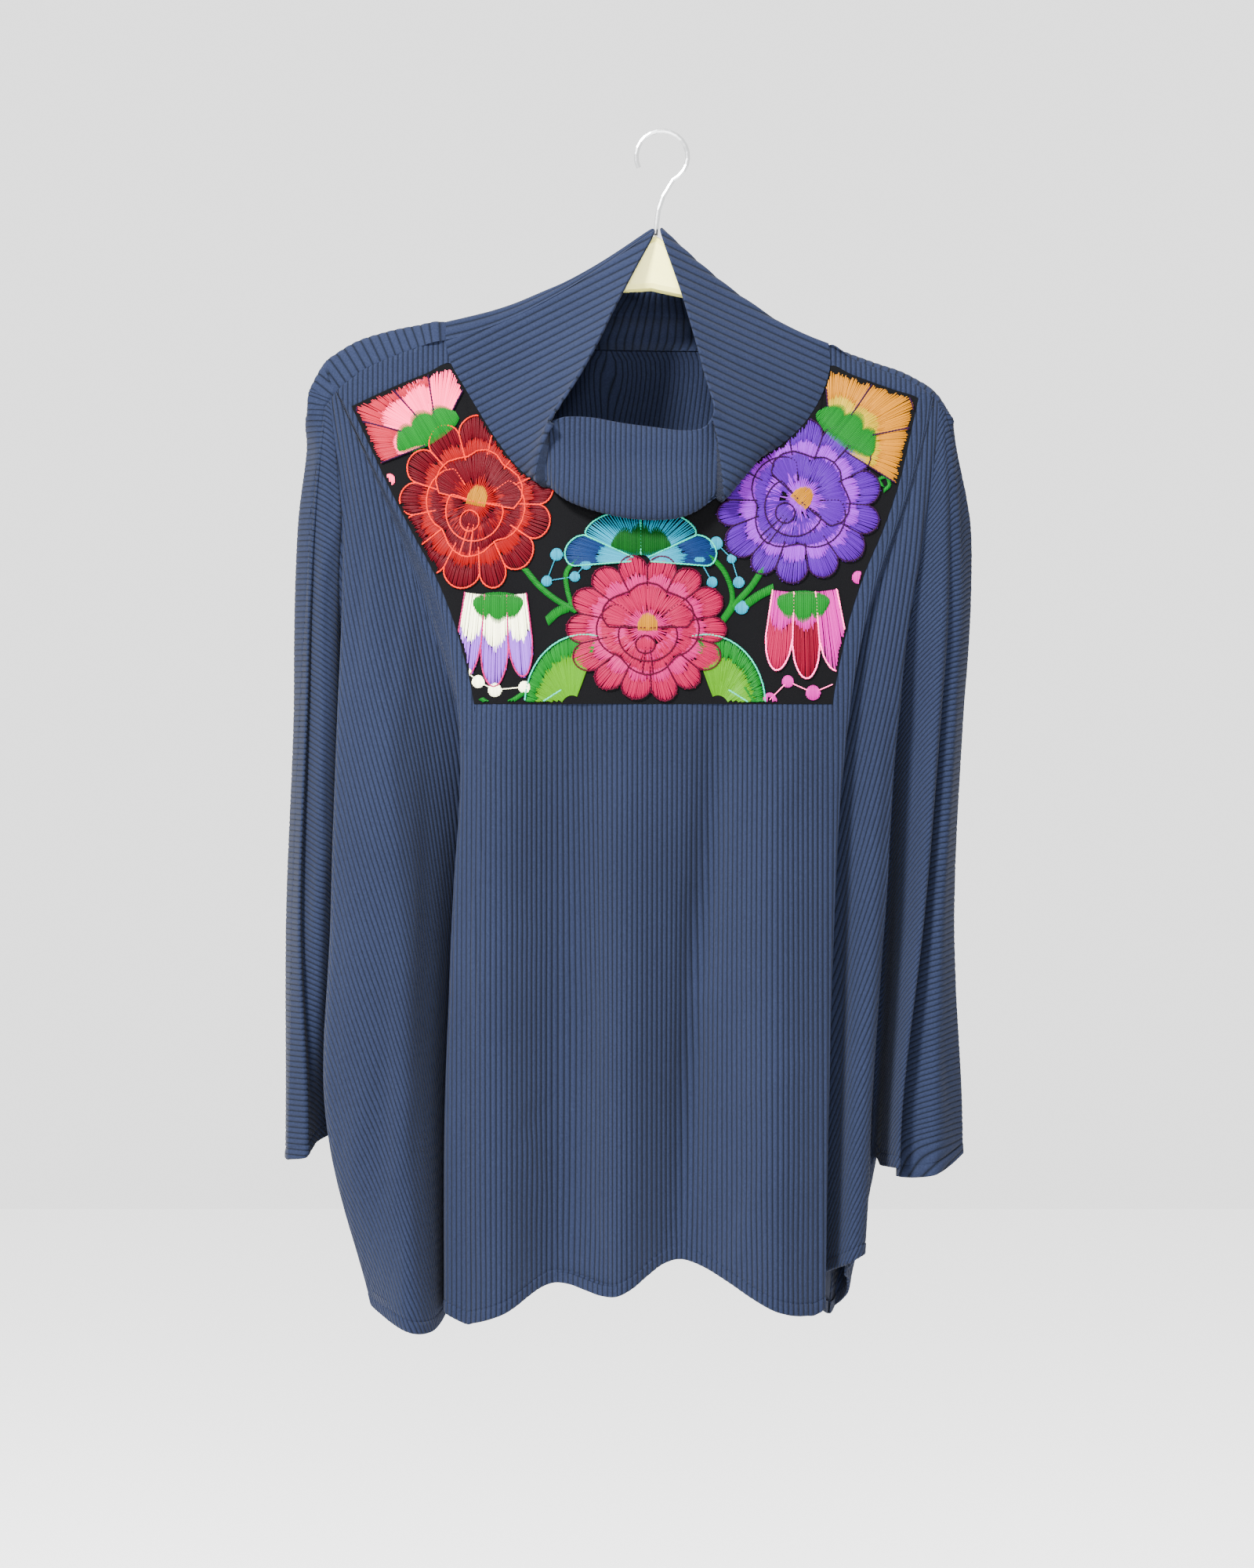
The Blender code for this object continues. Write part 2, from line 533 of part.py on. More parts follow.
def make_material(name, colour, roughness, metallic=0.0):
    material = bpy.data.materials.new(name)
    material.use_nodes = True
    shader = material.node_tree.nodes["Principled BSDF"]
    shader.inputs["Base Color"].default_value = (*colour, 1)
    shader.inputs["Roughness"].default_value = roughness
    shader.inputs["Metallic"].default_value = metallic
    return material


def add_object(name, data, material, collection, parent=None):
    item = bpy.data.objects.new(name, data)
    data.materials.append(material)
    collection.objects.link(item)
    item.parent = parent
    return item


def add_wall(name, points, normals, faces, thickness, material, collection, gap=SEAM_GAP / 2):
    """A closed wall of cloth on both sides of its middle surface."""
    middle = trimmed(points, faces, gap)
    used = sorted({i for face in faces for i in face})
    edges = {(face[i], face[(i + 1) % 4]) for face in faces for i in range(4)}
    shape = bmesh.new()
    outer = {i: shape.verts.new(Vector(middle[i] + normals[i] * thickness / 2) * MM) for i in used}
    inner = {i: shape.verts.new(Vector(middle[i] - normals[i] * thickness / 2) * MM) for i in used}
    for face in faces:
        shape.faces.new([outer[i] for i in face])
        shape.faces.new([inner[i] for i in reversed(face)])
    for a, b in edges:
        if (b, a) not in edges:
            shape.faces.new([outer[b], outer[a], inner[a], inner[b]])
    mesh = bpy.data.meshes.new(name)
    shape.to_mesh(mesh)
    shape.free()
    mesh.shade_smooth()
    return add_object(name, mesh, material, collection)


def collar_grid(ring, front_count):
    """The collar from the neckline's points up to its rim."""
    count = len(ring)
    at = np.concatenate([
        np.linspace(0, 1, front_count),
        1 + np.linspace(0, 1, count - front_count + 2)[1:-1],
    ])
    keys = [station.at for station in COLLAR]
    rims = hermite(keys, [station.rim for station in COLLAR], at)
    shape = hermite(keys, [(station.belly, station.droop, station.sag) for station in COLLAR], at)
    centre = np.array([-16.0, 0.0])
    rows = np.zeros((COLLAR_ROWS + 1, count, 3))
    for column in range(count):
        seam = ring[column]
        rim = rims[column]
        outward = seam[:2] - centre
        outward = outward / np.linalg.norm(outward)
        for row in range(COLLAR_ROWS + 1):
            t = row / COLLAR_ROWS
            point = seam * (1 - t) + rim * t
            swell = math.sin(math.pi * t ** 0.6)
            point[:2] += outward * shape[column, 0] * swell
            point[2] -= shape[column, 1] * math.sin(math.pi * t ** 0.66) * (1 - t) * 1.2
            point[2] -= shape[column, 2] * math.sin(math.pi * t)
            rows[row, column] = point
    return rows


def hanger_section(s, top, low):
    """A rounded oblong across the hanger's arm."""
    half = ARM_THICKNESS / 2 - max(0, abs(s) - 180) * ARM_END_TAPER
    radius = min(ARM_EDGE_RADIUS, (top - low) / 2.2)
    points = []
    for side, up in ((1, 1), (-1, 1), (-1, -1), (1, -1)):
        for step in range(3):
            quarter = math.pi / 4 * (step if side * up > 0 else 2 - step)
            y = side * (half - radius + radius * math.cos(quarter))
            z = (top - radius if up > 0 else low + radius) + up * radius * math.sin(quarter)
            points.append(Vector((s, y, z)) * MM)
    return points


def add_hanger(collection):
    """The moulded hanger and its hook, tilted about the hook's crown."""
    tilt = bpy.data.objects.new("hanger_tilt", None)
    tilt.rotation_euler = (0, HANGER_TILT, 0)
    collection.objects.link(tilt)
    stations = [-213, -211, -206, -196, -180, -150, -120, -90, -60, -36, -22, -13, -7, 0]
    stations += [-s for s in reversed(stations[:-1])]
    tops = hermite([s for s, _ in ARM_TOP], [z for _, z in ARM_TOP], [abs(s) for s in stations]).ravel()
    lows = hermite([s for s, _ in ARM_LOWER], [z for _, z in ARM_LOWER], [abs(s) for s in stations]).ravel()
    shape = bmesh.new()
    rings = []
    for s, top, low in zip(stations, tops, lows):
        rings.append([shape.verts.new(point) for point in hanger_section(s, top, low)])
    for ring, after in zip(rings, rings[1:]):
        for i in range(len(ring)):
            k = (i + 1) % len(ring)
            shape.faces.new([ring[i], ring[k], after[k], after[i]])
    shape.faces.new(rings[0])
    shape.faces.new(reversed(rings[-1]))
    bmesh.ops.recalc_face_normals(shape, faces=shape.faces)
    mesh = bpy.data.meshes.new("hanger_body")
    shape.to_mesh(mesh)
    shape.free()
    mesh.shade_smooth()
    mesh.set_sharp_from_angle(angle=math.radians(50))
    add_object("hanger_body", mesh, make_material("ivory plastic", IVORY, 0.45), collection, tilt)

    wire = HOOK_WIRE / 2
    centre_z = -HOOK_RADIUS
    reach = HOOK_RADIUS + wire
    route = [(0, ARM_TOP[0][1] + HOOK_GAP), (0, -66), (0.5, -56), (3, -46)]
    for angle in range(-60, 211, 15):
        turn = math.radians(angle)
        route.append((reach * math.cos(turn), centre_z + reach * math.sin(turn)))
    curve = bpy.data.curves.new("hanger_hook", "CURVE")
    curve.dimensions = "3D"
    curve.bevel_depth = wire * MM
    curve.bevel_resolution = 2
    curve.use_fill_caps = True
    spline = curve.splines.new("POLY")
    spline.points.add(len(route) - 1)
    for point, (x, z) in zip(spline.points, route):
        point.co = (x * MM, 0, z * MM, 1)
    add_object("hanger_hook", curve, make_material("steel wire", STEEL, 0.25, 1.0), collection, tilt)


def distance_to(route, x, z):
    """The shortest distance in the front view from (x, z) to a run of points."""
    best = 1e9
    for (ax, az), (bx, bz) in zip(route, route[1:]):
        run = (bx - ax, bz - az)
        share = ((x - ax) * run[0] + (z - az) * run[1]) / max(run[0] ** 2 + run[1] ** 2, 1e-9)
        share = min(1, max(0, share))
        best = min(best, math.hypot(x - ax - share * run[0], z - az - share * run[1]))
    return best


def within(route, x, z):
    """Whether (x, z) is inside a closed run of points."""
    inside = False
    for (ax, az), (bx, bz) in zip(route, route[1:] + route[:1]):
        if (az > z) != (bz > z) and x < ax + (z - az) / (bz - az) * (bx - ax):
            inside = not inside
    return inside


def motif_radius(motif, angle):
    """The reach of a motif at an angle from its own top: petals all round a flower, and below on a bell."""
    turn = angle - math.radians(motif.turn)
    reach = 1 / math.hypot(math.sin(turn) / motif.wide, math.cos(turn) / motif.tall)
    lobes = abs(math.sin(motif.petals * turn / 2))
    below = 1 if motif.kind == "flower" else max(0, -math.cos(turn)) ** 0.5
    if motif.kind == "leaf":
        return reach * (1 - 0.25 * abs(math.sin(turn)))
    return reach * (1 - PETAL_DEPTH * below * (1 - lobes))


def add_motif(motif, taken, edges, surface, material, collection):
    """One embroidered motif: a thin pad that follows the yoke, clear of the seams and of its neighbours."""
    sides, neck, outline = edges
    count = motif.points
    reach = []
    for step in range(count):
        angle = 2 * math.pi * step / count
        radius = motif_radius(motif, angle)
        while radius > 2:
            x = motif.x + radius * math.sin(angle)
            z = motif.z + radius * math.cos(angle)
            clear = within(outline, x, z) and distance_to(sides, x, z) > PAD_MARGIN
            clear = clear and distance_to(neck, x, z) > PAD_NECK_MARGIN
            if clear and all(not within(other, x, z) and distance_to(other, x, z) > PAD_SPACE for other in taken):
                break
            radius -= 0.5
        reach.append(radius)
    places = [(motif.x, motif.z)]
    for share in PAD_RINGS:
        for step in range(count):
            angle = 2 * math.pi * step / count
            radius = reach[step] * share
            places.append((motif.x + radius * math.sin(angle), motif.z + radius * math.cos(angle)))
    shape = bmesh.new()
    layers = []
    for lift in (YOKE_TO_PAD, YOKE_TO_PAD + PAD_THICKNESS):
        layer = []
        for x, z in places:
            spot, normal, _, _ = surface.ray_cast(Vector((x, -200, z)) * MM, Vector((0, 1, 0)))
            layer.append(shape.verts.new(spot + normal * lift * MM))
        layers.append(layer)
    under, over = layers
    for step in range(count):
        after = (step + 1) % count
        for layer in layers:
            shape.faces.new([layer[0], layer[1 + step], layer[1 + after]])
            for ring in range(len(PAD_RINGS) - 1):
                inner = 1 + ring * count
                outer = inner + count
                shape.faces.new([layer[inner + step], layer[outer + step], layer[outer + after], layer[inner + after]])
        shape.faces.new([over[outer + step], under[outer + step], under[outer + after], over[outer + after]])
    bmesh.ops.recalc_face_normals(shape, faces=shape.faces)
    mesh = bpy.data.meshes.new(motif.name)
    shape.to_mesh(mesh)
    shape.free()
    mesh.shade_smooth()
    mesh.set_sharp_from_angle(angle=math.radians(40))
    add_object(motif.name, mesh, material, collection)
    outline_points = places[-count:]
    taken.append(outline_points + outline_points[:1])


for leftover in list(bpy.data.objects):
    bpy.data.objects.remove(leftover)

top_collection = bpy.data.collections.new("long_sleeve_top_on_hanger")
bpy.context.scene.collection.children.link(top_collection)

front = panel_grid(FRONT_FOLDS, None, FRONT_NECK, front_straps)
back = panel_grid(BACK_FOLDS, (left_arch, right_arch), BACK_NECK, back_straps)
# The panels share their overarm seams, and below the underarm the sleeve and side seams too.
for line in (LEFT_SLEEVE_LINE, LEFT_SIDE_LINE, RIGHT_SIDE_LINE, RIGHT_SLEEVE_LINE):
    column = column_of(line, FRONT_FOLDS)
    back[UNDERARM_ROW + 1 :, column] = front[UNDERARM_ROW + 1 :, column]
    back[UNDERARM_ROW, column] = front[UNDERARM_ROW, column] + (0, UNDERARM_GAP, 0)
back[:, 0] = front[:, 0]
back[:, -1] = front[:, -1]

panel_columns = front.shape[1]
yoke_first = column_of(YOKE_LEFT_LINE, FRONT_FOLDS)
yoke_last = column_of(YOKE_RIGHT_LINE, FRONT_FOLDS)
neck_first = yoke_first + STRAP_CELLS
neck_last = yoke_last - STRAP_CELLS

front_cells = np.ones((HEM_ROW, panel_columns - 1), bool)
front_cells[:YOKE_ROW, yoke_first:yoke_last] = False
front_cells[:BAND_ROW, yoke_first:neck_first] = True
front_cells[:BAND_ROW, neck_last:yoke_last] = True
back_cells = np.ones((HEM_ROW, panel_columns - 1), bool)
back_cells[:BEHIND_ROW, neck_first:neck_last] = False
for seam in (LEFT_SLEEVE_LINE, RIGHT_SIDE_LINE):
    slit = column_of(seam, FRONT_FOLDS)
    front_cells[UNDERARM_ROW:, slit] = False
    back_cells[UNDERARM_ROW:, slit] = False
yoke_cells = np.zeros((HEM_ROW, panel_columns - 1), bool)
yoke_cells[BAND_ROW:YOKE_ROW, yoke_first:yoke_last] = True

neck_ring = [front[0, neck_first]]
neck_ring += list(front[BAND_ROW, neck_first : neck_last + 1])
neck_ring.append(front[0, neck_last])
neck_front_points = len(neck_ring)
neck_ring += [back[row, neck_last] for row in range(1, BEHIND_ROW + 1)]
neck_ring += list(back[BEHIND_ROW, neck_first:neck_last][::-1])
neck_ring += [back[row, neck_first] for row in range(BEHIND_ROW - 1, 0, -1)]
neck_ring = np.array(neck_ring)
collar = collar_grid(neck_ring, neck_front_points)

points = np.concatenate([front.reshape(-1, 3), back.reshape(-1, 3), collar.reshape(-1, 3)])
back_offset = front.size // 3
collar_offset = back_offset + back.size // 3
pieces = {
    "front_panel": quads_of(front_cells, 0, panel_columns, True),
    "yoke": quads_of(yoke_cells, 0, panel_columns, True),
    "back_panel": quads_of(back_cells, back_offset, panel_columns, False),
    "collar": wrapped_quads(COLLAR_ROWS + 1, len(neck_ring), collar_offset),
}
normals = vertex_normals(points, [face for faces in pieces.values() for face in faces])

knit = make_material("navy rib knit", NAVY, 0.85)
black_cotton = make_material("black cotton", BLACK_COTTON, 0.8)
add_wall("front_panel", points, normals, pieces["front_panel"], KNIT_WALL, knit, top_collection)
add_wall("back_panel", points, normals, pieces["back_panel"], KNIT_WALL, knit, top_collection)
add_wall("collar", points, normals, pieces["collar"], COLLAR_WALL, knit, top_collection, COLLAR_SEAM_GAP)

yoke_object = add_wall("yoke", points, normals, pieces["yoke"], YOKE_WALL, black_cotton, top_collection)
yoke_surface = BVHTree.FromPolygons(
    [vertex.co for vertex in yoke_object.data.vertices], [tuple(face.vertices) for face in yoke_object.data.polygons]
)
yoke_left = front[BAND_ROW : YOKE_ROW + 1, yoke_first]
yoke_foot = front[YOKE_ROW, yoke_first : yoke_last + 1]
yoke_right = front[BAND_ROW : YOKE_ROW + 1, yoke_last][::-1]
yoke_top = front[BAND_ROW, yoke_first : yoke_last + 1][::-1]
yoke_sides = [(p[0], p[2]) for p in (*yoke_left, *yoke_foot, *yoke_right, *yoke_top[: STRAP_CELLS + 1])]
yoke_neck = [(p[0], p[2]) for p in yoke_top[STRAP_CELLS : -STRAP_CELLS]]
yoke_outline = yoke_sides + [(p[0], p[2]) for p in yoke_top[STRAP_CELLS + 1 :]]
outlines = []
for motif in MOTIFS:
    thread = make_material(motif.name.replace("embroidery_", "satin stitch "), motif.colour, 0.5)
    add_motif(motif, outlines, (yoke_sides, yoke_neck, yoke_outline), yoke_surface, thread, top_collection)
add_hanger(top_collection)
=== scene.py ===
"""A long sleeve dolman top in navy rib knit with an embroidered black yoke, on its hanger.

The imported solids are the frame; this script dresses them. Tables are in millimetres, the scene is in metres.
"""

import math
from collections import namedtuple

import bpy
import numpy as np
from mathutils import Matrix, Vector
from mathutils.bvhtree import BVHTree
from mathutils.kdtree import KDTree


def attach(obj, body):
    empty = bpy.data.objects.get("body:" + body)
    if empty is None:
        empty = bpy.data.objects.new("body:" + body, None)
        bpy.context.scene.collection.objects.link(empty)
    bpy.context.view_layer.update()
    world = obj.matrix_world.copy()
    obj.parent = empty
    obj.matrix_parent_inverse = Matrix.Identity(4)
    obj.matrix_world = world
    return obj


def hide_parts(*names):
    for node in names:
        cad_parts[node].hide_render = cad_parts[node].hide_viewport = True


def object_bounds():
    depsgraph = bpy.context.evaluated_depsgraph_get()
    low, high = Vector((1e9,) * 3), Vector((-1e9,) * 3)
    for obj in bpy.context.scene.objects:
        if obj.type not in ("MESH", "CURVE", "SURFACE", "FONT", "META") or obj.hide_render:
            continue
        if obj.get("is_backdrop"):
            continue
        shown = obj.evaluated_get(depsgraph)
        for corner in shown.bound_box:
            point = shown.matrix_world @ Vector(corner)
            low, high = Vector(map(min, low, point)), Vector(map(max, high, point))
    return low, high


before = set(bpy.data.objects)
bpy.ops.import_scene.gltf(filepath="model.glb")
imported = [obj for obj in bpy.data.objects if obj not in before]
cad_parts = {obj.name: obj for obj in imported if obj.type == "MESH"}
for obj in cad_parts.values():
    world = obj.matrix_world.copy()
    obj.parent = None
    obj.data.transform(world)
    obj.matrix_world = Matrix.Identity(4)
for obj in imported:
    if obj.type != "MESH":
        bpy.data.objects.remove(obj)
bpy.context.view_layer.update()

# Studio: a pale floor, a pale wall of light and three large soft lamps, as for a catalogue picture.
# The camera stands 3 m in front of the top, at the height of its middle.
scene = bpy.context.scene
VIEW_HEIGHT = 1.14
VIEW_DISTANCE = 3.0
SENSOR = 36
CENTRE = Vector((-0.02679, 0, -0.4731))
FLOOR_HALF = 6
FLOOR_Z = -1.4


def linear(code):
    """A linear colour from an sRGB hex value."""
    parts = [int(code[i : i + 2], 16) / 255 for i in (1, 3, 5)]
    return (*[p / 12.92 if p <= 0.04045 else ((p + 0.055) / 1.055) ** 2.4 for p in parts], 1)


def set_inputs(material, node, inputs):
    """A node's inputs: each gets its value, or a link from another node's socket."""
    for key, value in inputs.items():
        if isinstance(value, bpy.types.NodeSocket):
            material.node_tree.links.new(value, node.inputs[key])
        else:
            node.inputs[key].default_value = value


def add_node(material, kind, inputs=None, **settings):
    """A shader node with its settings and its inputs."""
    made = material.node_tree.nodes.new("ShaderNode" + kind)
    for key, value in settings.items():
        setattr(made, key, value)
    set_inputs(material, made, inputs or {})
    return made


def new_material(name):
    """An empty node material and its surface shader."""
    material = bpy.data.materials.new(name)
    material.use_nodes = True
    return material, material.node_tree.nodes["Principled BSDF"]


def put(name, data):
    """An object of the scene."""
    item = bpy.data.objects.new(name, data)
    scene.collection.objects.link(item)
    return item


camera = put("camera", bpy.data.cameras.new("camera"))
scene.camera = camera
camera.location = CENTRE + Vector((0, -VIEW_DISTANCE, 0))
camera.rotation_euler = (math.pi / 2, 0, 0)
camera.data.sensor_fit = "AUTO"
camera.data.sensor_width = SENSOR
camera.data.lens = SENSOR * VIEW_DISTANCE / VIEW_HEIGHT

# Matt studio paint: even and pale, without a shine
floor_paint, floor_shader = new_material("matt white studio floor")
set_inputs(floor_paint, floor_shader, {"Base Color": linear("#fafafa"), "Roughness": 0.9})
floor_mesh = bpy.data.meshes.new("floor")
floor_corners = [(x * FLOOR_HALF, y * FLOOR_HALF, FLOOR_Z) for x, y in ((-1, -1), (1, -1), (1, 1), (-1, 1))]
floor_mesh.from_pydata(floor_corners, [], [(0, 1, 2, 3)])
floor_mesh.materials.append(floor_paint)
put("floor", floor_mesh)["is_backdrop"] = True

world = bpy.data.worlds.new("white studio")
world.use_nodes = True
world.node_tree.nodes["Background"].inputs["Color"].default_value = (1, 1, 1, 1)
world.node_tree.nodes["Background"].inputs["Strength"].default_value = 2.2
scene.world = world
for name, place, size, power in (
    ("key lamp", (-1.5, -2.3, 1.8), 0.7, 820),
    ("front lamp", (0.1, -3.4, 0.1), 0.6, 150),
    ("top lamp", (0.0, -0.4, 2.2), 1.4, 60),
):
    lamp = put(name, bpy.data.lights.new(name, "AREA"))
    lamp.data.size = size
    lamp.data.energy = power
    lamp.location = place
    lamp.rotation_euler = (CENTRE - lamp.location).to_track_quat("-Z", "Y").to_euler()

# Hanger: one moulded body in ivory polypropylene with a high neck, and a bent steel wire hook.
# The collar hides all but the neck; the cloth lies on the arms, so their upper edge shapes the shoulders.
MM = 0.001

# Moulded polypropylene: smooth and a little waxy, its ivory faintly cloudy, with a fine grain from the mould
ivory, ivory_shader = new_material("moulded ivory polypropylene")
ivory_place = add_node(ivory, "TexCoord").outputs["Object"]
ivory_cloud = add_node(ivory, "TexNoise", {"Vector": ivory_place, "Scale": 0.06 / MM, "Detail": 3})
ivory_colour = add_node(ivory, "ValToRGB", {"Fac": ivory_cloud.outputs["Fac"]})
ivory_colour.color_ramp.elements[0].color = linear("#c4be66")
ivory_colour.color_ramp.elements[1].color = linear("#d2cc78")
ivory_grain = add_node(ivory, "TexNoise", {"Vector": ivory_place, "Scale": 1.4 / MM})
ivory_bump = add_node(ivory, "Bump", {"Height": ivory_grain.outputs["Fac"], "Strength": 0.15,
                                      "Distance": 0.1 * MM})
set_inputs(ivory, ivory_shader, {"Base Color": ivory_colour.outputs["Color"],
                                 "Normal": ivory_bump.outputs["Normal"], "Roughness": 0.42, "IOR": 1.49})

# Drawn steel wire: a bright grey whose shine is broken by fine streaks two millimetres long
steel, steel_shader = new_material("drawn steel wire")
steel_place = add_node(steel, "TexCoord").outputs["Object"]
steel_streak = add_node(steel, "TexNoise", {"Vector": steel_place, "Scale": 0.5 / MM, "Detail": 4})
steel_rough = add_node(steel, "MapRange", {"Value": steel_streak.outputs["Fac"], "To Min": 0.18,
                                           "To Max": 0.34})
set_inputs(steel, steel_shader, {"Base Color": linear("#c9cacb"), "Metallic": 1,
                                 "Roughness": steel_rough.outputs["Result"]})
for node, finish in (("hanger_body", ivory), ("hanger_hook", steel)):
    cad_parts[node].data.materials.clear()
    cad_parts[node].data.materials.append(finish)

# Front: one cut of navy rib knit with both dolman sleeve fronts and a hole for the yoke.
# It hangs from the hanger's arms in long folds; its ribs are upright in the middle and cross the sleeves.
RIB_PITCH = 3.65
RIB_DEPTH = 0.55
RIB_ROUND = 0.7
CLOTH_OUT = 0.8
SEAM_WIDTH = 1.6
# Rows of the panels' mesh, from the shoulder seam down
BAND_ROW = 1
BEHIND_ROW = 4
YOKE_ROW = 8
UNDERARM_ROW = 13
HEM_ROW = 19
YOKE_HEM_Z = -416
UNDERARM_Z = -620

# Heights at which each fold line of the panels has a place
LEVELS = (-270, -340, -416, -576, -712, -850)

# One fold line of a panel: the mesh cells to the next line, its X and Y at LEVELS, and its lower end's Z
Fold = namedtuple("Fold", "name cells x y hem")

FRONT_FOLDS = [
    Fold("left overarm seam", 1, (-255, -259, -263, -269, -272, -274), (-14, -14, -14, -14, -14, -14), -745),
    Fold("left strip edge", 1, (-252, -256, -258, -263, -259, -261), (-17, -20, -24, -27, -24, -20), -743),
    Fold("left sleeve groove", 1, (-251, -254, -257, -261, -256, -258), (-16, -17, -18, -20, -18, -16), -739),
    Fold("left sleeve crest", 2, (-245, -247, -248, -249, -252, -253), (-20, -26, -30, -30, -8, -6), -733),
    Fold("left sleeve inner edge", 2, (-236, -238, -237, -239, -244, -244), (-20, -23, -24, -20, 6, 8), -729),
    Fold("left sleeve seam", 1, (-235, -235, -232, -235, -240, -238), (-18, -19, -8, 6, 18, 20), -727),
    Fold("left side seam", 2, (-233, -230, -222, -221, -224, -208), (-18, -19, -8, 6, 6, 2), -846),
    Fold("left fold outer", 3, (-230, -231, -234, -239, -242, -210), (-20, -28, -36, -42, -44, -38), -848),
    Fold("left fold crest", 3, (-219, -213, -206, -198, -195, -184), (-26, -38, -50, -64, -70, -72), -862),
    Fold("left fold inner", 3, (-209, -197, -188, -174, -170, -165), (-28, -38, -46, -50, -52, -54), -863),
    Fold("left valley", 3, (-201, -175, -151, -149, -153, -156), (-27, -34, -28, -4, 2, 2), -852),
    Fold("centre left edge", 1, (-197, -163, -147, -151, -156, -156), (-28, -40, -48, -46, -48, -50), -852),
    Fold("yoke left edge", 4, (-193, -157, -136, -137, -141, -142), (-29, -42, -52, -54, -56, -58), -858),
    Fold("first ridge", 4, (-150, -130, -112, -112, -113, -114), (-38, -50, -57, -58, -62, -66), -850),
    Fold("first trough", 4, (-90, -84, -80, -78, -78, -79), (-48, -54, -56, -50, -48, -48), -830),
    Fold("middle ridge", 4, (-30, -32, -34, -34, -34, -34), (-52, -57, -60, -60, -62, -66), -838),
    Fold("dark trough", 4, (28, 28, 30, 22, 14, 12), (-52, -56, -58, -46, -42, -40), -814),
    Fold("right ridge", 4, (90, 82, 78, 76, 76, 76), (-40, -50, -57, -60, -64, -68), -847),
    Fold("yoke right edge", 1, (165, 137, 120, 113, 110, 107), (-29, -42, -52, -54, -56, -58), -852),
    Fold("centre right edge", 3, (172, 147, 132, 122, 117, 114), (-28, -41, -50, -50, -52, -54), -848),
    Fold("right valley", 2, (176, 151, 129, 112, 108, 107), (-26, -34, -36, -24, -18, -16), -832),
    Fold("right fold crest", 2, (182, 162, 151, 142, 135, 130), (-26, -37, -42, -42, -44, -46), -817),
    Fold("right fold outer edge", 2, (188, 176, 169, 161, 150, 141), (-24, -33, -37, -38, -38, -36), -811),
    Fold("right side seam", 1, (190, 177, 162, 146, 139, 132), (-21, -24, -16, 0, 4, 6), -822),
    Fold("right sleeve seam", 3, (192, 181, 170, 158, 152, 149), (-21, -24, -16, 0, 6, 6), -750),
    Fold("second fold edge", 2, (203, 202, 197, 185, 170, 167), (-23, -30, -32, -34, -34, -34), -750),
    Fold("right sleeve groove", 2, (206, 206, 200, 184, 171, 169), (-20, -24, -22, -16, -16, -16), -757),
    Fold("right sleeve crest", 2, (212, 214, 210, 199, 196, 195), (-17, -21, -23, -25, -26, -26), -755),
    Fold("right overarm seam", 0, (221, 223, 218, 211, 217, 218), (-4, -4, -3, -2, 0, 0), -742),
]

LEFT_SLEEVE_LINE = 5
LEFT_SIDE_LINE = 6
LEFT_CREST_LINE = 8
LEFT_VALLEY_LINE = 10
YOKE_LEFT_LINE = 12
YOKE_RIGHT_LINE = 18
RIGHT_VALLEY_LINE = 20
RIGHT_CREST_LINE = 21
RIGHT_SIDE_LINE = 23
RIGHT_SLEEVE_LINE = 24
LAST_LINE = 28
STRAP_CELLS = 4

# The shoulder seams lie in front of the hanger's arms: (x, y, z) from the overarm seam up to the neck
LEFT_SHOULDER = [(-246, -11, -200), (-234, -12, -185), (-214, -12, -171), (-192, -12, -162),
                 (-172, -12, -155), (-158, -12, -152)]
RIGHT_SHOULDER = [(204, -9, -203), (190, -11, -187), (170, -11, -178), (152, -11, -171), (134, -11, -164),
                  (119, -12, -156)]
# The front neckline from the left corner to the right one, under the collar
FRONT_NECK = [(-154, -14, -169), (-133, -20, -205), (-112, -30, -236), (-95, -38, -254), (-74, -44, -263),
              (-40, -49, -268), (-6, -51, -270), (22, -48, -265), (40, -43, -256), (64, -36, -241),
              (98, -26, -216), (116, -18, -186), (120, -14, -171)]
YOKE_CORNERS = {"left": (-226, -15, -200), "right": (184, -14, -194)}
SEAM_CORNER = 0.16
# Heights of a row of the overarm seam and of the band below the shoulder seam
OVERARM_STEP = 9
BAND_TALL = 14


def hermite(keys, values, at):
    """A smooth curve through values at rising keys, read at each place of at. It doesn't overshoot."""
    keys = np.asarray(keys, float)
    values = np.asarray(values, float)
    values = values.reshape(len(keys), -1)
    at = np.atleast_1d(np.asarray(at, float))
    steps = np.diff(keys)
    slopes = np.diff(values, axis=0) / steps[:, None]
    tangents = np.empty_like(values)
    tangents[0] = slopes[0]
    tangents[-1] = slopes[-1]
    for i in range(1, len(keys) - 1):
        weight = steps[i] / (steps[i - 1] + steps[i])
        tangents[i] = weight * slopes[i - 1] + (1 - weight) * slopes[i]
    cell = np.clip(np.searchsorted(keys, at, "right") - 1, 0, len(steps) - 1)
    width = steps[cell][:, None]
    t = ((at - keys[cell])[:, None]) / width
    start = values[cell]
    end = values[cell + 1]
    return (
        (2 * t**3 - 3 * t**2 + 1) * start
        + (t**3 - 2 * t**2 + t) * width * tangents[cell]
        + (3 * t**2 - 2 * t**3) * end
        + (t**3 - t**2) * width * tangents[cell + 1]
    )


def line_length(route):
    """How far along a route each of its points lies."""
    return np.concatenate([[0], np.cumsum(np.linalg.norm(np.diff(route, axis=0), axis=1))])


def along(points, fractions):
    """Points at these fractions of the length of a smooth curve through points."""
    points = np.asarray(points, float)
    keys = line_length(points)
    return hermite(keys / keys[-1], points, fractions)


def spread(start, end, count):
    """Evenly spaced values, count steps from start to end."""
    return np.linspace(start, end, count + 1)


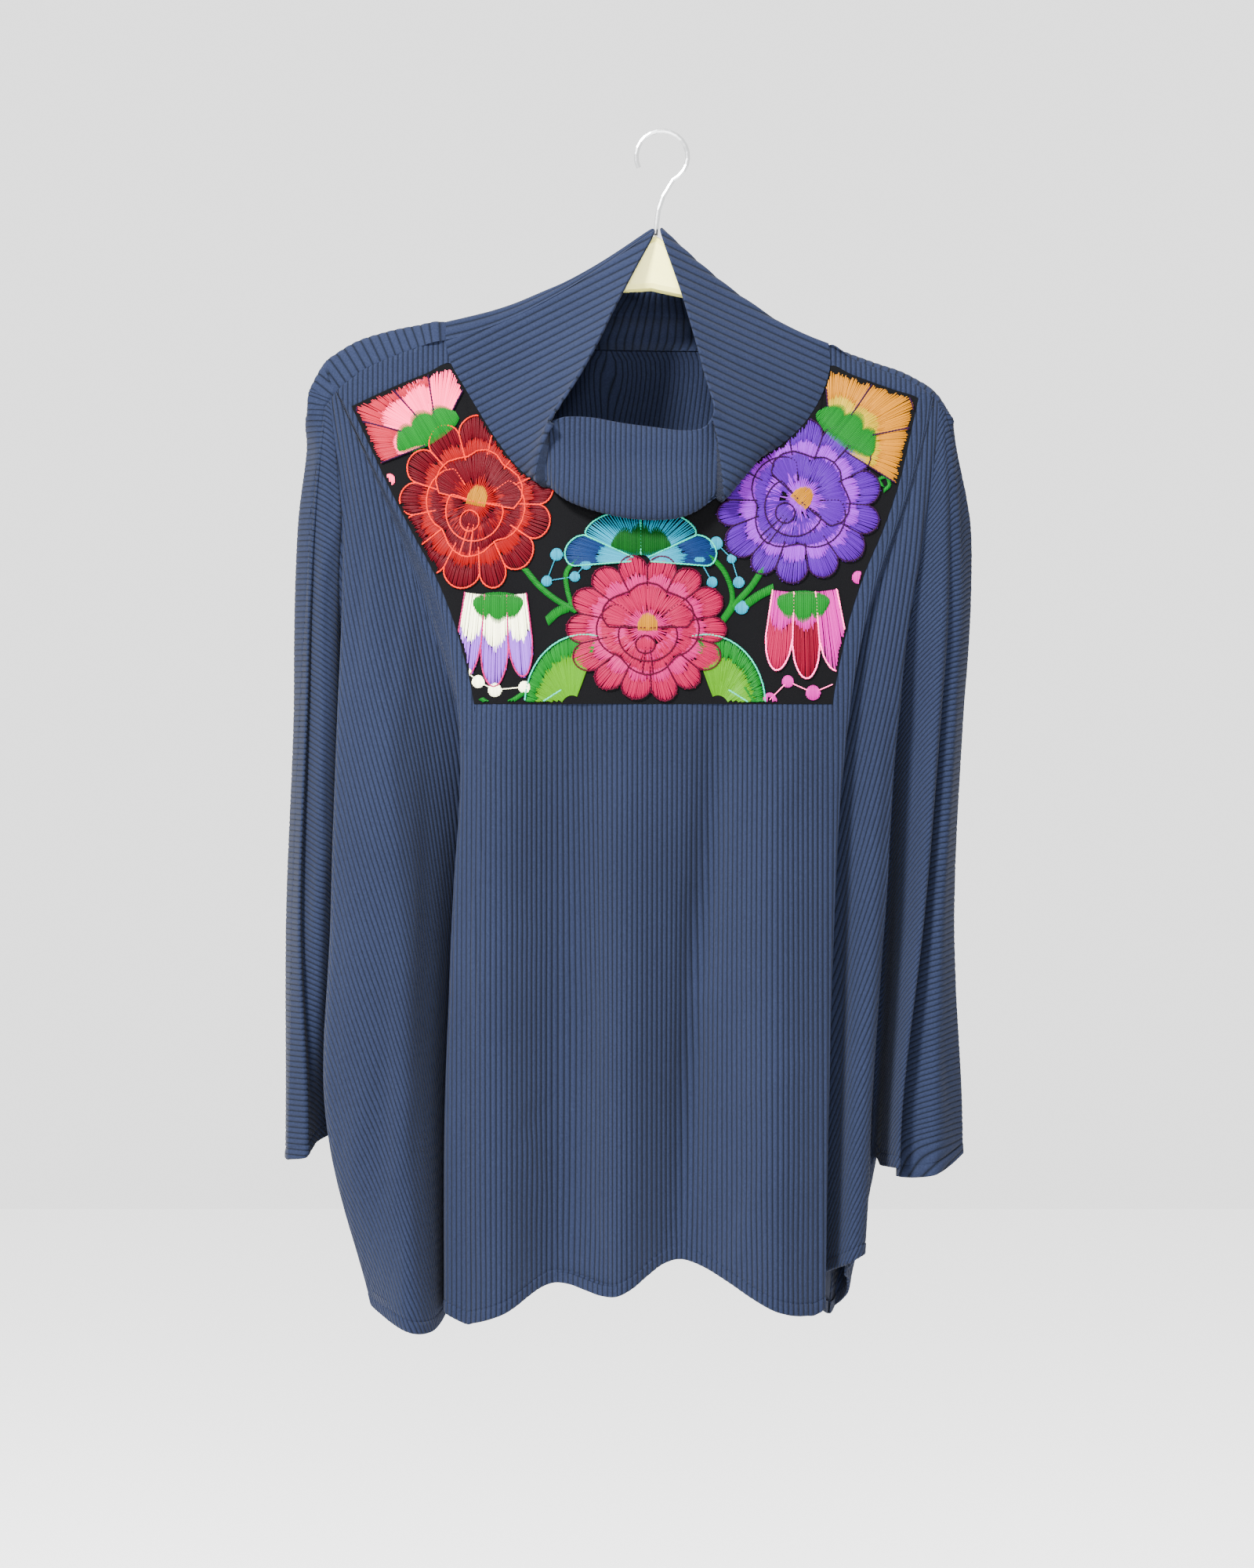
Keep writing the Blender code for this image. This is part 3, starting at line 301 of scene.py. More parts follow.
def column_of(line, folds):
    """The mesh column of a fold line."""
    return sum(fold.cells for fold in folds[:line])


def line_points(fold, top, rows_z):
    """One fold line from its top point, through its places at LEVELS, at each row's height."""
    keys = np.array([top, *zip(fold.x, fold.y, LEVELS)], float)
    return hermite(-keys[:, 2], keys, -rows_z)


def shoulder_places():
    """The shoulder seam point of each mesh column, left wing, left strap, right strap and right wing."""
    left_wing = YOKE_LEFT_LINE
    right_wing = len(FRONT_FOLDS) - 1 - YOKE_RIGHT_LINE
    corner = SEAM_CORNER
    left = {
        "lines": along(LEFT_SHOULDER, spread(0, corner, left_wing)),
        "strap": along(LEFT_SHOULDER, spread(corner, 1, STRAP_CELLS)),
    }
    right = {
        "lines": along(RIGHT_SHOULDER, spread(corner, 0, right_wing)),
        "strap": along(RIGHT_SHOULDER, spread(1, corner, STRAP_CELLS)),
    }
    return left, right


def rows_between(start, end, first, last):
    """Heights from start to end for the mesh rows first to last."""
    return spread(start, end, last - first)


def wing_lines(folds, indices, tops, behind):
    """The rows of each fold line of a wing, from the shoulder seam to the cuff or hem."""
    lines = {}
    count = len(indices) - 1
    for place, index in enumerate(indices):
        fold = folds[index]
        top = tops[place]
        on_seam = index in (0, len(folds) - 1)
        share = place / count
        rows = np.zeros((HEM_ROW + 1, 3))
        if on_seam:
            first = rows_between(top[2], top[2] - OVERARM_STEP * BEHIND_ROW, 0, BEHIND_ROW)
            start_row = BEHIND_ROW
            start = None
        elif behind is None:
            first = np.array([top[2], top[2] - BAND_TALL])
            start_row = BAND_ROW
            start = None
        else:
            first, start = behind(top, share)
            rows[: BEHIND_ROW + 1] = first
            start_row = BEHIND_ROW
        low = rows[start_row, 2] if start is not None else first[-1]
        heights = np.concatenate([
            rows_between(low, YOKE_HEM_Z, start_row, YOKE_ROW),
            rows_between(YOKE_HEM_Z, UNDERARM_Z, YOKE_ROW, UNDERARM_ROW)[1:],
            rows_between(UNDERARM_Z, fold.hem, UNDERARM_ROW, HEM_ROW)[1:],
        ])
        if start is None:
            heights = np.concatenate([first[:-1], heights])
            rows[:] = line_points(fold, top, heights)
        else:
            rows[start_row:] = line_points(fold, start, heights)
        lines[index] = rows
    return lines


def front_straps(left_seam, right_seam, left_line, right_line):
    """The narrow knit band over each upper corner of the yoke."""
    left_edge = along([left_line[BAND_ROW], (-196, -15, -186), FRONT_NECK[0]], spread(0, 1, STRAP_CELLS))
    right_edge = along([FRONT_NECK[-1], (152, -15, -183), right_line[BAND_ROW]], spread(0, 1, STRAP_CELLS))
    return [left_seam, left_edge], [right_seam, right_edge]


def coons(left, right, top, bottom):
    """A patch between two side curves and a top and bottom curve, as rows of points."""
    rows = len(left)
    columns = len(top)
    u = np.linspace(0, 1, columns)[None, :, None]
    v = np.linspace(0, 1, rows)[:, None, None]
    sides = (1 - u) * left[:, None, :] + u * right[:, None, :]
    ends = (1 - v) * top[None, :, :] + v * bottom[None, :, :]
    corners = (
        (1 - u) * (1 - v) * top[0] + u * (1 - v) * top[-1] + (1 - u) * v * bottom[0] + u * v * bottom[-1]
    )
    return sides + ends - corners


def across(lines, folds, groups):
    """All mesh columns of a panel, from its fold lines, a smooth curve in each group of lines."""
    columns = column_of(len(folds) - 1, folds) + 1
    grid = np.zeros((HEM_ROW + 1, columns, 3))
    for first, last in groups:
        place = []
        for line in range(first, last):
            cells = folds[line].cells
            place += [line + step / cells for step in range(cells)]
        place.append(last)
        start = column_of(first, folds)
        for row in range(HEM_ROW + 1):
            keys = np.array([lines[line][row] for line in range(first, last + 1)])
            grid[row, start : start + len(place)] = hermite(range(first, last + 1), keys, place)
    return grid


def panel_grid(folds, behind, neck, strap_rows):
    """The middle surface of the front or the back, rows by columns."""
    left, right = shoulder_places()
    wings = (None, None) if behind is None else behind
    lines = wing_lines(folds, range(0, YOKE_LEFT_LINE + 1), left["lines"], wings[0])
    lines |= wing_lines(folds, range(YOKE_RIGHT_LINE, len(folds)), right["lines"], wings[1])
    top_row = BAND_ROW if behind is None else BEHIND_ROW
    if behind is None:
        for line, side in ((YOKE_LEFT_LINE, "left"), (YOKE_RIGHT_LINE, "right")):
            corner = YOKE_CORNERS[side]
            heights = -lines[line][BAND_ROW:, 2]
            heights[: YOKE_ROW - BAND_ROW + 1] = -rows_between(corner[2], YOKE_HEM_Z, BAND_ROW, YOKE_ROW)
            lines[line][BAND_ROW:] = line_points(folds[line], corner, -heights)
    for line in range(YOKE_LEFT_LINE + 1, YOKE_RIGHT_LINE):
        fold = folds[line]
        heights = np.concatenate([
            np.full(YOKE_ROW, YOKE_HEM_Z),
            rows_between(YOKE_HEM_Z, UNDERARM_Z, YOKE_ROW, UNDERARM_ROW),
            rows_between(UNDERARM_Z, fold.hem, UNDERARM_ROW, HEM_ROW)[1:],
        ])
        keys = np.array([(x, y, z) for x, y, z in zip(fold.x, fold.y, LEVELS)], float)
        lines[line] = hermite(-keys[:, 2], keys, -heights)
    last = len(folds) - 1
    groups = [
        (0, LEFT_SLEEVE_LINE),
        (LEFT_SLEEVE_LINE, LEFT_SIDE_LINE),
        (LEFT_SIDE_LINE, RIGHT_SIDE_LINE),
        (RIGHT_SIDE_LINE, RIGHT_SLEEVE_LINE),
        (RIGHT_SLEEVE_LINE, last),
    ]
    grid = across(lines, folds, groups)
    # Above the yoke's hem the middle is a patch between the wings, from the neckline down.
    first = column_of(YOKE_LEFT_LINE, folds)
    end = column_of(YOKE_RIGHT_LINE, folds)
    upper = [*groups[:2], (LEFT_SIDE_LINE, YOKE_LEFT_LINE), (YOKE_RIGHT_LINE, RIGHT_SIDE_LINE), *groups[3:]]
    above = across(lines, folds, upper)
    grid[:YOKE_ROW, : first + 1] = above[:YOKE_ROW, : first + 1]
    grid[:YOKE_ROW, end:] = above[:YOKE_ROW, end:]
    straps_left, straps_right = strap_rows(left["strap"], right["strap"], grid[:, first], grid[:, end])
    neck_cells = end - first - 2 * STRAP_CELLS
    neckline = along(neck, spread(0, 1, neck_cells))
    top = np.concatenate([straps_left[top_row][:-1], neckline, straps_right[top_row][1:]])
    patch = grid[top_row : YOKE_ROW + 1]
    patch[:, first : end + 1] = coons(patch[:, first], patch[:, end], top, patch[-1, first : end + 1])
    for row in range(top_row):
        grid[row, first : first + STRAP_CELLS + 1] = straps_left[row]
        grid[row, first + STRAP_CELLS : end - STRAP_CELLS + 1] = neckline
        grid[row, first + STRAP_CELLS] = straps_left[row][-1]
        grid[row, end - STRAP_CELLS : end + 1] = straps_right[row]
    return grid


# The lean of the ribs from upright, in degrees: at the top and the foot of each side fold, and across each
# sleeve from its overarm seam inwards
SIDE_LEAN = {"left": (-9, -25), "right": (2, 30)}
SLEEVE_LEAN = {"left": (90, 88, 80, 62, 54, 48), "right": (86, 78, 58, 46, 40)}
SLEEVE_STRETCH = 0.92
MIDDLE_ROW = 11


def run_along(route, points):
    """How far along a route, in millimetres, lies its nearest place to each point."""
    route = np.asarray(route, float)
    flat = points.reshape(-1, 3)
    best = np.full(len(flat), 1e9)
    place = np.zeros(len(flat))
    passed = 0.0
    for a, b in zip(route, route[1:]):
        length = np.linalg.norm(b - a)
        share = np.clip((flat - a) @ (b - a) / length**2, 0, 1)
        away = np.linalg.norm(flat - a - share[:, None] * (b - a), axis=1)
        nearer = away < best
        place[nearer] = passed + share[nearer] * length
        best[nearer] = away[nearer]
        passed += length
    return place.reshape(points.shape[:2])


def arc_from(grid, column):
    """The distance along each row of the cloth from one column."""
    steps = np.linalg.norm(np.diff(grid, axis=1), axis=2)
    arc = np.concatenate([np.zeros((len(grid), 1)), np.cumsum(steps, axis=1)], axis=1)
    return arc - arc[:, column : column + 1]


def sleeve_ribs(grid, folds, side):
    """Ribs that leave the overarm seam at right angles and turn down towards the sleeve's inner edge."""
    seam = LEFT_SHOULDER[::-1] if side == "left" else RIGHT_SHOULDER[::-1]
    edge = 0 if side == "left" else grid.shape[1] - 1
    route = [*seam, *grid[1:, edge]]
    starts = np.array([column_of(line, folds) for line in range(len(folds))])
    lines = range(len(SLEEVE_LEAN[side])) if side == "left" else range(len(folds) - 1, RIGHT_SIDE_LINE, -1)
    places = [starts[line] for line in lines]
    lean = np.interp(range(grid.shape[1]), sorted(places),
                     SLEEVE_LEAN[side] if side == "left" else SLEEVE_LEAN[side][::-1])
    drop = 1 / np.tan(np.radians(lean))
    steps = np.linalg.norm(np.diff(grid, axis=1), axis=2) * (drop[1:] + drop[:-1]) / 2
    fall = np.concatenate([np.zeros((len(grid), 1)), np.cumsum(steps, axis=1)], axis=1)
    fall = np.abs(fall - fall[:, edge : edge + 1])
    return (run_along(route, grid) - fall) * SLEEVE_STRETCH


def side_ribs(grid, folds, side):
    """Ribs of a side fold: evenly apart round the fold, leaning more towards its foot."""
    crest = column_of(LEFT_CREST_LINE if side == "left" else RIGHT_CREST_LINE, folds)
    depth = np.linspace(0, 1, len(grid))
    lean = np.radians(np.interp(depth, (0.1, 1), SIDE_LEAN[side]))
    line = grid[:, crest]
    falls = np.concatenate([[0], -np.diff(line[:, 2])])
    drift = line[:, 0] - line[0, 0] + np.cumsum(falls * np.tan(lean))
    return arc_from(grid, crest) + drift[:, None]


def body_ribs(grid, gathered):
    """Upright ribs, evenly apart round the folds at half height; the back's gather from its neckline down."""
    extra = (arc_from(grid, grid.shape[1] // 2) - grid[:, :, 0])[MIDDLE_ROW]
    share = np.ones(len(grid))
    if gathered:
        share = np.clip((np.arange(len(grid)) - BEHIND_ROW) / (MIDDLE_ROW - BEHIND_ROW), 0, 1)
    return grid[:, :, 0] + extra[None, :] * share[:, None]


def finer(grid, row_places, column_places):
    """A smooth grid of values read between the rows and columns of a coarse one."""
    rows, columns, depth = grid.shape
    tall = hermite(range(rows), grid.reshape(rows, -1), row_places).reshape(len(row_places), columns, depth)
    wide = tall.transpose(1, 0, 2).reshape(columns, -1)
    full = hermite(range(columns), wide, column_places)
    return full.reshape(len(column_places), len(row_places), depth).transpose(1, 0, 2)


def hem_places(grid, places):
    """The rows' places with more of them near the hem, for its fold and its line of stitches."""
    tall = np.linalg.norm(np.diff(grid, axis=0)[-1], axis=1).mean()
    extra = [HEM_ROW - up / tall for up in (12, 9.9, 9.3, 8.9, 8.5, 7.9, 5, 2.4, 1.2, 0.5)]
    return np.array(sorted([place for place in places if place < extra[0]] + extra + [HEM_ROW]))


def places_for(grid, axis, first, last, step):
    """Places between mesh lines first and last, no more than step millimetres apart."""
    lengths = np.linalg.norm(np.diff(grid, axis=axis), axis=2)
    lengths = lengths.max(axis=1 - axis)
    places = []
    for cell in range(first, last):
        count = max(1, math.ceil(lengths[cell] / step))
        places += [cell + share / count for share in range(count)]
    return np.array(places + [last])


def surface_normals(points, flip):
    """Unit normals of a grid of points."""
    down = np.gradient(points, axis=0)
    across_step = np.gradient(points, axis=1)
    normal = np.cross(across_step, down) if flip else np.cross(down, across_step)
    length = np.linalg.norm(normal, axis=2, keepdims=True)
    length[length == 0] = 1
    return normal / length


def rib_height(rib):
    """The rib's rounded profile, from 0 in the groove to 1 on its crest."""
    return np.abs(np.cos(np.pi * rib / RIB_PITCH)) ** RIB_ROUND


def grid_mesh(name, points, keep, values, material):
    """A mesh from a grid of points in millimetres, the cells to keep, and named values at its points."""
    rows, columns = points.shape[:2]
    corner = (np.arange(rows - 1)[:, None] * columns + np.arange(columns - 1)[None, :])[keep]
    quads = np.stack([corner, corner + columns, corner + columns + 1, corner + 1], axis=1)
    used, number = np.unique(quads, return_inverse=True)
    quads = number.reshape(quads.shape)
    mesh = bpy.data.meshes.new(name)
    mesh.vertices.add(len(used))
    mesh.vertices.foreach_set("co", (points.reshape(-1, 3)[used] * MM).astype(np.float32).ravel())
    mesh.loops.add(quads.size)
    mesh.loops.foreach_set("vertex_index", quads.astype(np.int32).ravel())
    mesh.polygons.add(len(quads))
    mesh.polygons.foreach_set("loop_start", np.arange(0, quads.size, 4, dtype=np.int32))
    mesh.update(calc_edges=True)
    mesh.validate()
    for key, value in values.items():
        layer = mesh.attributes.new(key, "FLOAT", "POINT")
        layer.data.foreach_set("value", value.reshape(-1)[used].astype(np.float32))
    mesh.shade_smooth()
    mesh.materials.append(material)
    item = put(name, mesh)
    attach(item, "root")
    return item


# Worsted rib knit: fine matt yarn with a little halo and pale rounded ribs; the narrow grooves between them
# are painted dark, as painted shade.
# The yarn's flecks are a millimetre wide, coarser than its fibres, so that they show. The dye's tone changes
# slowly, over 11 cm
navy_knit, knit_shader = new_material("navy worsted rib knit")
knit_rib = add_node(navy_knit, "Attribute", attribute_name="rib")
knit_turn = add_node(navy_knit, "Math", {0: knit_rib.outputs["Fac"], 1: math.pi / RIB_PITCH},
                     operation="MULTIPLY")
knit_wave = add_node(navy_knit, "Math", {0: knit_turn.outputs[0]}, operation="COSINE")
knit_crest = add_node(navy_knit, "Math", {0: knit_wave.outputs[0]}, operation="ABSOLUTE")
knit_height = add_node(navy_knit, "Math", {0: knit_crest.outputs[0], 1: RIB_ROUND}, operation="POWER")
knit_place = add_node(navy_knit, "TexCoord").outputs["Object"]
knit_yarn = add_node(navy_knit, "TexNoise", {"Vector": knit_place, "Scale": 0.9 / MM, "Detail": 3})
knit_tone = add_node(navy_knit, "TexNoise", {"Vector": knit_place, "Scale": 0.009 / MM, "Detail": 3})
# Painted shade: the colour darkens from the rib crests into the narrow grooves, where shade would fall
knit_groove_shade_ramp = add_node(navy_knit, "ValToRGB", {"Fac": knit_height.outputs[0]})
knit_groove_shade_ramp.color_ramp.elements[0].color = linear("#04060a")
knit_groove_shade_ramp.color_ramp.elements[1].color = linear("#131828")
knit_groove_shade_ramp.color_ramp.elements[1].position = 0.75
knit_flecks, knit_clouds = [
    add_node(navy_knit, "MapRange", {"Value": noise.outputs["Fac"], "From Min": 0.3, "From Max": 0.7,
                                     "To Min": darkest, "To Max": palest})
    for noise, darkest, palest in ((knit_yarn, 0.78, 1.16), (knit_tone, 0.94, 1.06))
]
knit_shade = add_node(navy_knit, "Math", {0: knit_flecks.outputs["Result"], 1: knit_clouds.outputs["Result"]},
                      operation="MULTIPLY")
knit_colour = add_node(navy_knit, "VectorMath", {0: knit_groove_shade_ramp.outputs["Color"],
                                                 "Scale": knit_shade.outputs[0]}, operation="SCALE")
knit_relief = add_node(navy_knit, "Math", {0: knit_yarn.outputs["Fac"], 1: 0.12, 2: knit_height.outputs[0]},
                       operation="MULTIPLY_ADD")
knit_bump = add_node(navy_knit, "Bump", {"Height": knit_relief.outputs[0], "Strength": 0.8,
                                         "Distance": 0.8 * MM})
set_inputs(navy_knit, knit_shader, {"Base Color": knit_colour.outputs["Vector"],
                                    "Normal": knit_bump.outputs["Normal"], "Roughness": 0.92,
                                    "Specular IOR Level": 0.05, "Sheen Weight": 0.02, "Sheen Roughness": 0.5})

front_grid = panel_grid(FRONT_FOLDS, None, FRONT_NECK, front_straps)
yoke_first = column_of(YOKE_LEFT_LINE, FRONT_FOLDS)
yoke_last = column_of(YOKE_RIGHT_LINE, FRONT_FOLDS)
neck_first = yoke_first + STRAP_CELLS
neck_last = yoke_last - STRAP_CELLS
left_slit = column_of(LEFT_SLEEVE_LINE, FRONT_FOLDS)
right_slit = column_of(RIGHT_SIDE_LINE, FRONT_FOLDS)
front_cells = np.ones((HEM_ROW, front_grid.shape[1] - 1), bool)
front_cells[:YOKE_ROW, yoke_first:yoke_last] = False
front_cells[:BAND_ROW, yoke_first:neck_first] = True
front_cells[:BAND_ROW, neck_last:yoke_last] = True
front_cells[UNDERARM_ROW:, [left_slit, right_slit]] = False

# Each stretch of a panel: its fold lines, the steps of its mesh across and down in millimetres, and its share
# of the flat front and of the flat back, as width and length in metres
Stretch = namedtuple("Stretch", "name first last across down front back")
STRETCHES = (
    Stretch("left_sleeve", 0, LEFT_SLEEVE_LINE, 2.2, 1.3, (0.06, 0.60), (0.09, 0.60)),
    Stretch("left_side", LEFT_SLEEVE_LINE, LEFT_VALLEY_LINE, 1.15, 5.4, (0.15, 0.70), (0.13, 0.75)),
    Stretch("left_edge", LEFT_VALLEY_LINE, YOKE_LEFT_LINE, 1.1, 3.4, (0.055, 0.60), (0.035, 0.75)),
    Stretch("body", YOKE_LEFT_LINE, YOKE_RIGHT_LINE, 0.92, 9.0, (0.28, 0.45), (0.29, 0.74)),
    Stretch("right_edge", YOKE_RIGHT_LINE, RIGHT_VALLEY_LINE, 1.1, 3.4, (0.045, 0.60), (0.035, 0.75)),
    Stretch("right_side", RIGHT_VALLEY_LINE, RIGHT_SLEEVE_LINE, 1.1, 4.0, (0.08, 0.70), (0.065, 0.75)),
    Stretch("right_sleeve", RIGHT_SLEEVE_LINE, LAST_LINE, 1.8, 1.6, (0.09, 0.60), (0.08, 0.60)),
)
# The turned-up hem, the dent of its line of stitches, its rolled edge and the dent of a seam
HEM_TALL = 9.0
HEM_LIFT = 0.35
STITCH_DENT = 0.5
EDGE_ROLL = 0.8
SEAM_DENT = 0.3
BACK_COARSER = 1.42

# Creases laid in: both ends in the front view, half width, and height (below 0, the depth)
Crease = namedtuple("Crease", "x0 z0 x1 z1 wide tall")
FRONT_CREASES = [Crease(*row) for row in (
    (-60, -838, -108, -700, 9, 1.6), (-36, -840, -58, -770, 6, -1.0), (46, -826, 74, -742, 8, 1.4),
    (98, -845, 88, -745, 7, -1.3), (52, -700, 112, -662, 7, 1.0), (30, -640, 108, -612, 6, -0.8),
    (-128, -560, -60, -602, 9, 0.9), (-120, -740, -72, -690, 7, -1.0), (-140, -432, -96, -500, 8, 1.1),
    (104, -430, 72, -520, 9, 1.2), (-20, -424, -34, -520, 10, 0.9), (-60, -380, -56, -900, 24, -9.0),
    (39, -410, 24, -625, 12, -8.5), (25, -540, 13, -800, 11, -8.5), (74, -440, 80, -820, 20, 4.0),
    (-120, -400, -130, -820, 14, 4.0), (-178, -300, -196, -470, 7, 1.8),
    (-196, -520, -204, -860, 15, -6.0), (-168, -420, -172, -840, 9, -4.0),
    (166, -420, 150, -760, 7, -4.5), (128, -470, 124, -800, 6, -3.5), (-214, -260, -222, -400, 5, -1.6),
    (-204, -640, -226, -770, 8, 1.9), (-176, -700, -196, -846, 8, -1.6), (-230, -250, -246, -330, 4, 1.4),
    (-244, -330, -250, -470, 4, -1.4), (-242, -500, -256, -610, 5, 1.6), (186, -240, 176, -400, 5, 1.6),
    (206, -260, 210, -420, 5, -1.4), (204, -440, 190, -620, 6, 1.8), (158, -520, 146, -690, 6, 1.5),
    (200, -640, 212, -735, 6, -1.6), (180, -690, 172, -748, 4, 1.3),
)]
SEAM_POINTS = 600


def crease_height(points, creases):
    """The creases' height at each point, full in the middle of a crease and fading at its ends."""
    total = np.zeros(points.shape[:2])
    for crease in creases:
        run = np.array([crease.x1 - crease.x0, crease.z1 - crease.z0], float)
        away = np.stack([points[:, :, 0] - crease.x0, points[:, :, 2] - crease.z0], axis=2)
        share = (away @ run) / (run @ run)
        side = (away[:, :, 0] * run[1] - away[:, :, 1] * run[0]) / np.linalg.norm(run)
        ends = np.clip(1 - np.abs(share * 2 - 1), 0, 1) ** 0.6
        total += crease.tall * ends * np.exp(-((side / crease.wide) ** 2))
    return total


def near_lines(points, lines):
    """The distance from each point to the nearest of some seam lines."""
    spots = [
        place for line in lines
        for place in hermite(range(len(line)), line, np.linspace(0, len(line) - 1, SEAM_POINTS))
    ]
    tree = KDTree(len(spots))
    for number, spot in enumerate(spots):
        tree.insert(spot, number)
    tree.balance()
    return np.array([tree.find(point)[2] for point in points.reshape(-1, 3)]).reshape(points.shape[:2])


# A whole panel as add_stretch needs it; flip is set where its outside faces backwards
Panel = namedtuple("Panel", "side grid cells folds flip creases seams")


def add_stretch(panel, stretch, ribs):
    """One stretch of a panel: its ribs and creases raised, seams drawn in, its hem turned up inside."""
    grid, cells = panel.grid, panel.cells
    first = column_of(stretch.first, panel.folds)
    last = column_of(stretch.last, panel.folds)
    coarse = BACK_COARSER if panel.side == "back" else 1
    part = grid[:, first : last + 1]
    row_places = np.concatenate([
        places_for(part, 0, 0, BAND_ROW + 1, min(stretch.down, 2.0))[:-1],
        places_for(part, 0, BAND_ROW + 1, HEM_ROW, stretch.down * coarse),
    ])
    row_places = hem_places(part, row_places)
    column_places = places_for(grid, 1, first, last, stretch.across * coarse)
    fine = finer(np.concatenate([grid, ribs[:, :, None]], axis=2), row_places, column_places)
    points, rib = fine[:, :, :3], fine[:, :, 3]
    normals = surface_normals(points, panel.flip)
    from_hem = np.linalg.norm(points - points[-1:], axis=2)
    out = CLOTH_OUT - RIB_DEPTH * (1 - rib_height(rib)) + crease_height(points, panel.creases)
    out += HEM_LIFT * np.clip((HEM_TALL - from_hem) / 0.6, 0, 1)
    out -= STITCH_DENT * np.exp(-(((from_hem - HEM_TALL) / 0.55) ** 2))
    out -= EDGE_ROLL * np.clip(1 - from_hem / 1.2, 0, 1) ** 2
    edge = near_lines(points, panel.seams)
    out = (out + SEAM_DENT) * np.clip(edge / SEAM_WIDTH, 0, 1) ** 0.5 - SEAM_DENT
    outer = points + normals * out[:, :, None]
    turned = from_hem[:, 0] < HEM_TALL - 0.2
    inner = (points - normals * CLOTH_OUT)[turned][::-1]
    keep = cells[np.minimum(row_places[:-1].astype(int), HEM_ROW - 1)]
    keep = keep[:, np.minimum(column_places[:-1].astype(int), cells.shape[1] - 1)]
    keep = np.concatenate([keep, np.repeat(keep[-1:], len(inner), axis=0)])
    item = grid_mesh(panel.side + "_" + stretch.name, np.concatenate([outer, inner]), keep,
                     {"rib": np.concatenate([rib, rib[turned][::-1]])}, navy_knit)
    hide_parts(panel.side + "_panel")
    getattr(stretch, panel.side)
    return item


front_sleeves = {side: sleeve_ribs(front_grid, FRONT_FOLDS, side) for side in ("left", "right")}
front_body = body_ribs(front_grid, False)
front_ribs = (
    front_sleeves["left"], side_ribs(front_grid, FRONT_FOLDS, "left"), front_body, front_body, front_body,
    side_ribs(front_grid, FRONT_FOLDS, "right"), front_sleeves["right"],
)
front_seams = [
    front_grid[:, 0], front_grid[:, -1],
    front_grid[0, : neck_first + 1], front_grid[0, neck_last:],
    front_grid[BAND_ROW : YOKE_ROW + 1, yoke_first], front_grid[BAND_ROW : YOKE_ROW + 1, yoke_last],
    front_grid[YOKE_ROW, yoke_first : yoke_last + 1],
    front_grid[BAND_ROW, yoke_first : neck_first + 1], front_grid[BAND_ROW, neck_last : yoke_last + 1],
]
underarm_seams = [front_grid[UNDERARM_ROW:, column_of(line, FRONT_FOLDS)]
                  for line in (LEFT_SLEEVE_LINE, LEFT_SIDE_LINE, RIGHT_SIDE_LINE, RIGHT_SLEEVE_LINE)]
front_seams += underarm_seams
front = Panel("front", front_grid, front_cells, FRONT_FOLDS, False, FRONT_CREASES, front_seams)
front_pieces = [add_stretch(front, stretch, ribs) for stretch, ribs in zip(STRETCHES, front_ribs)]

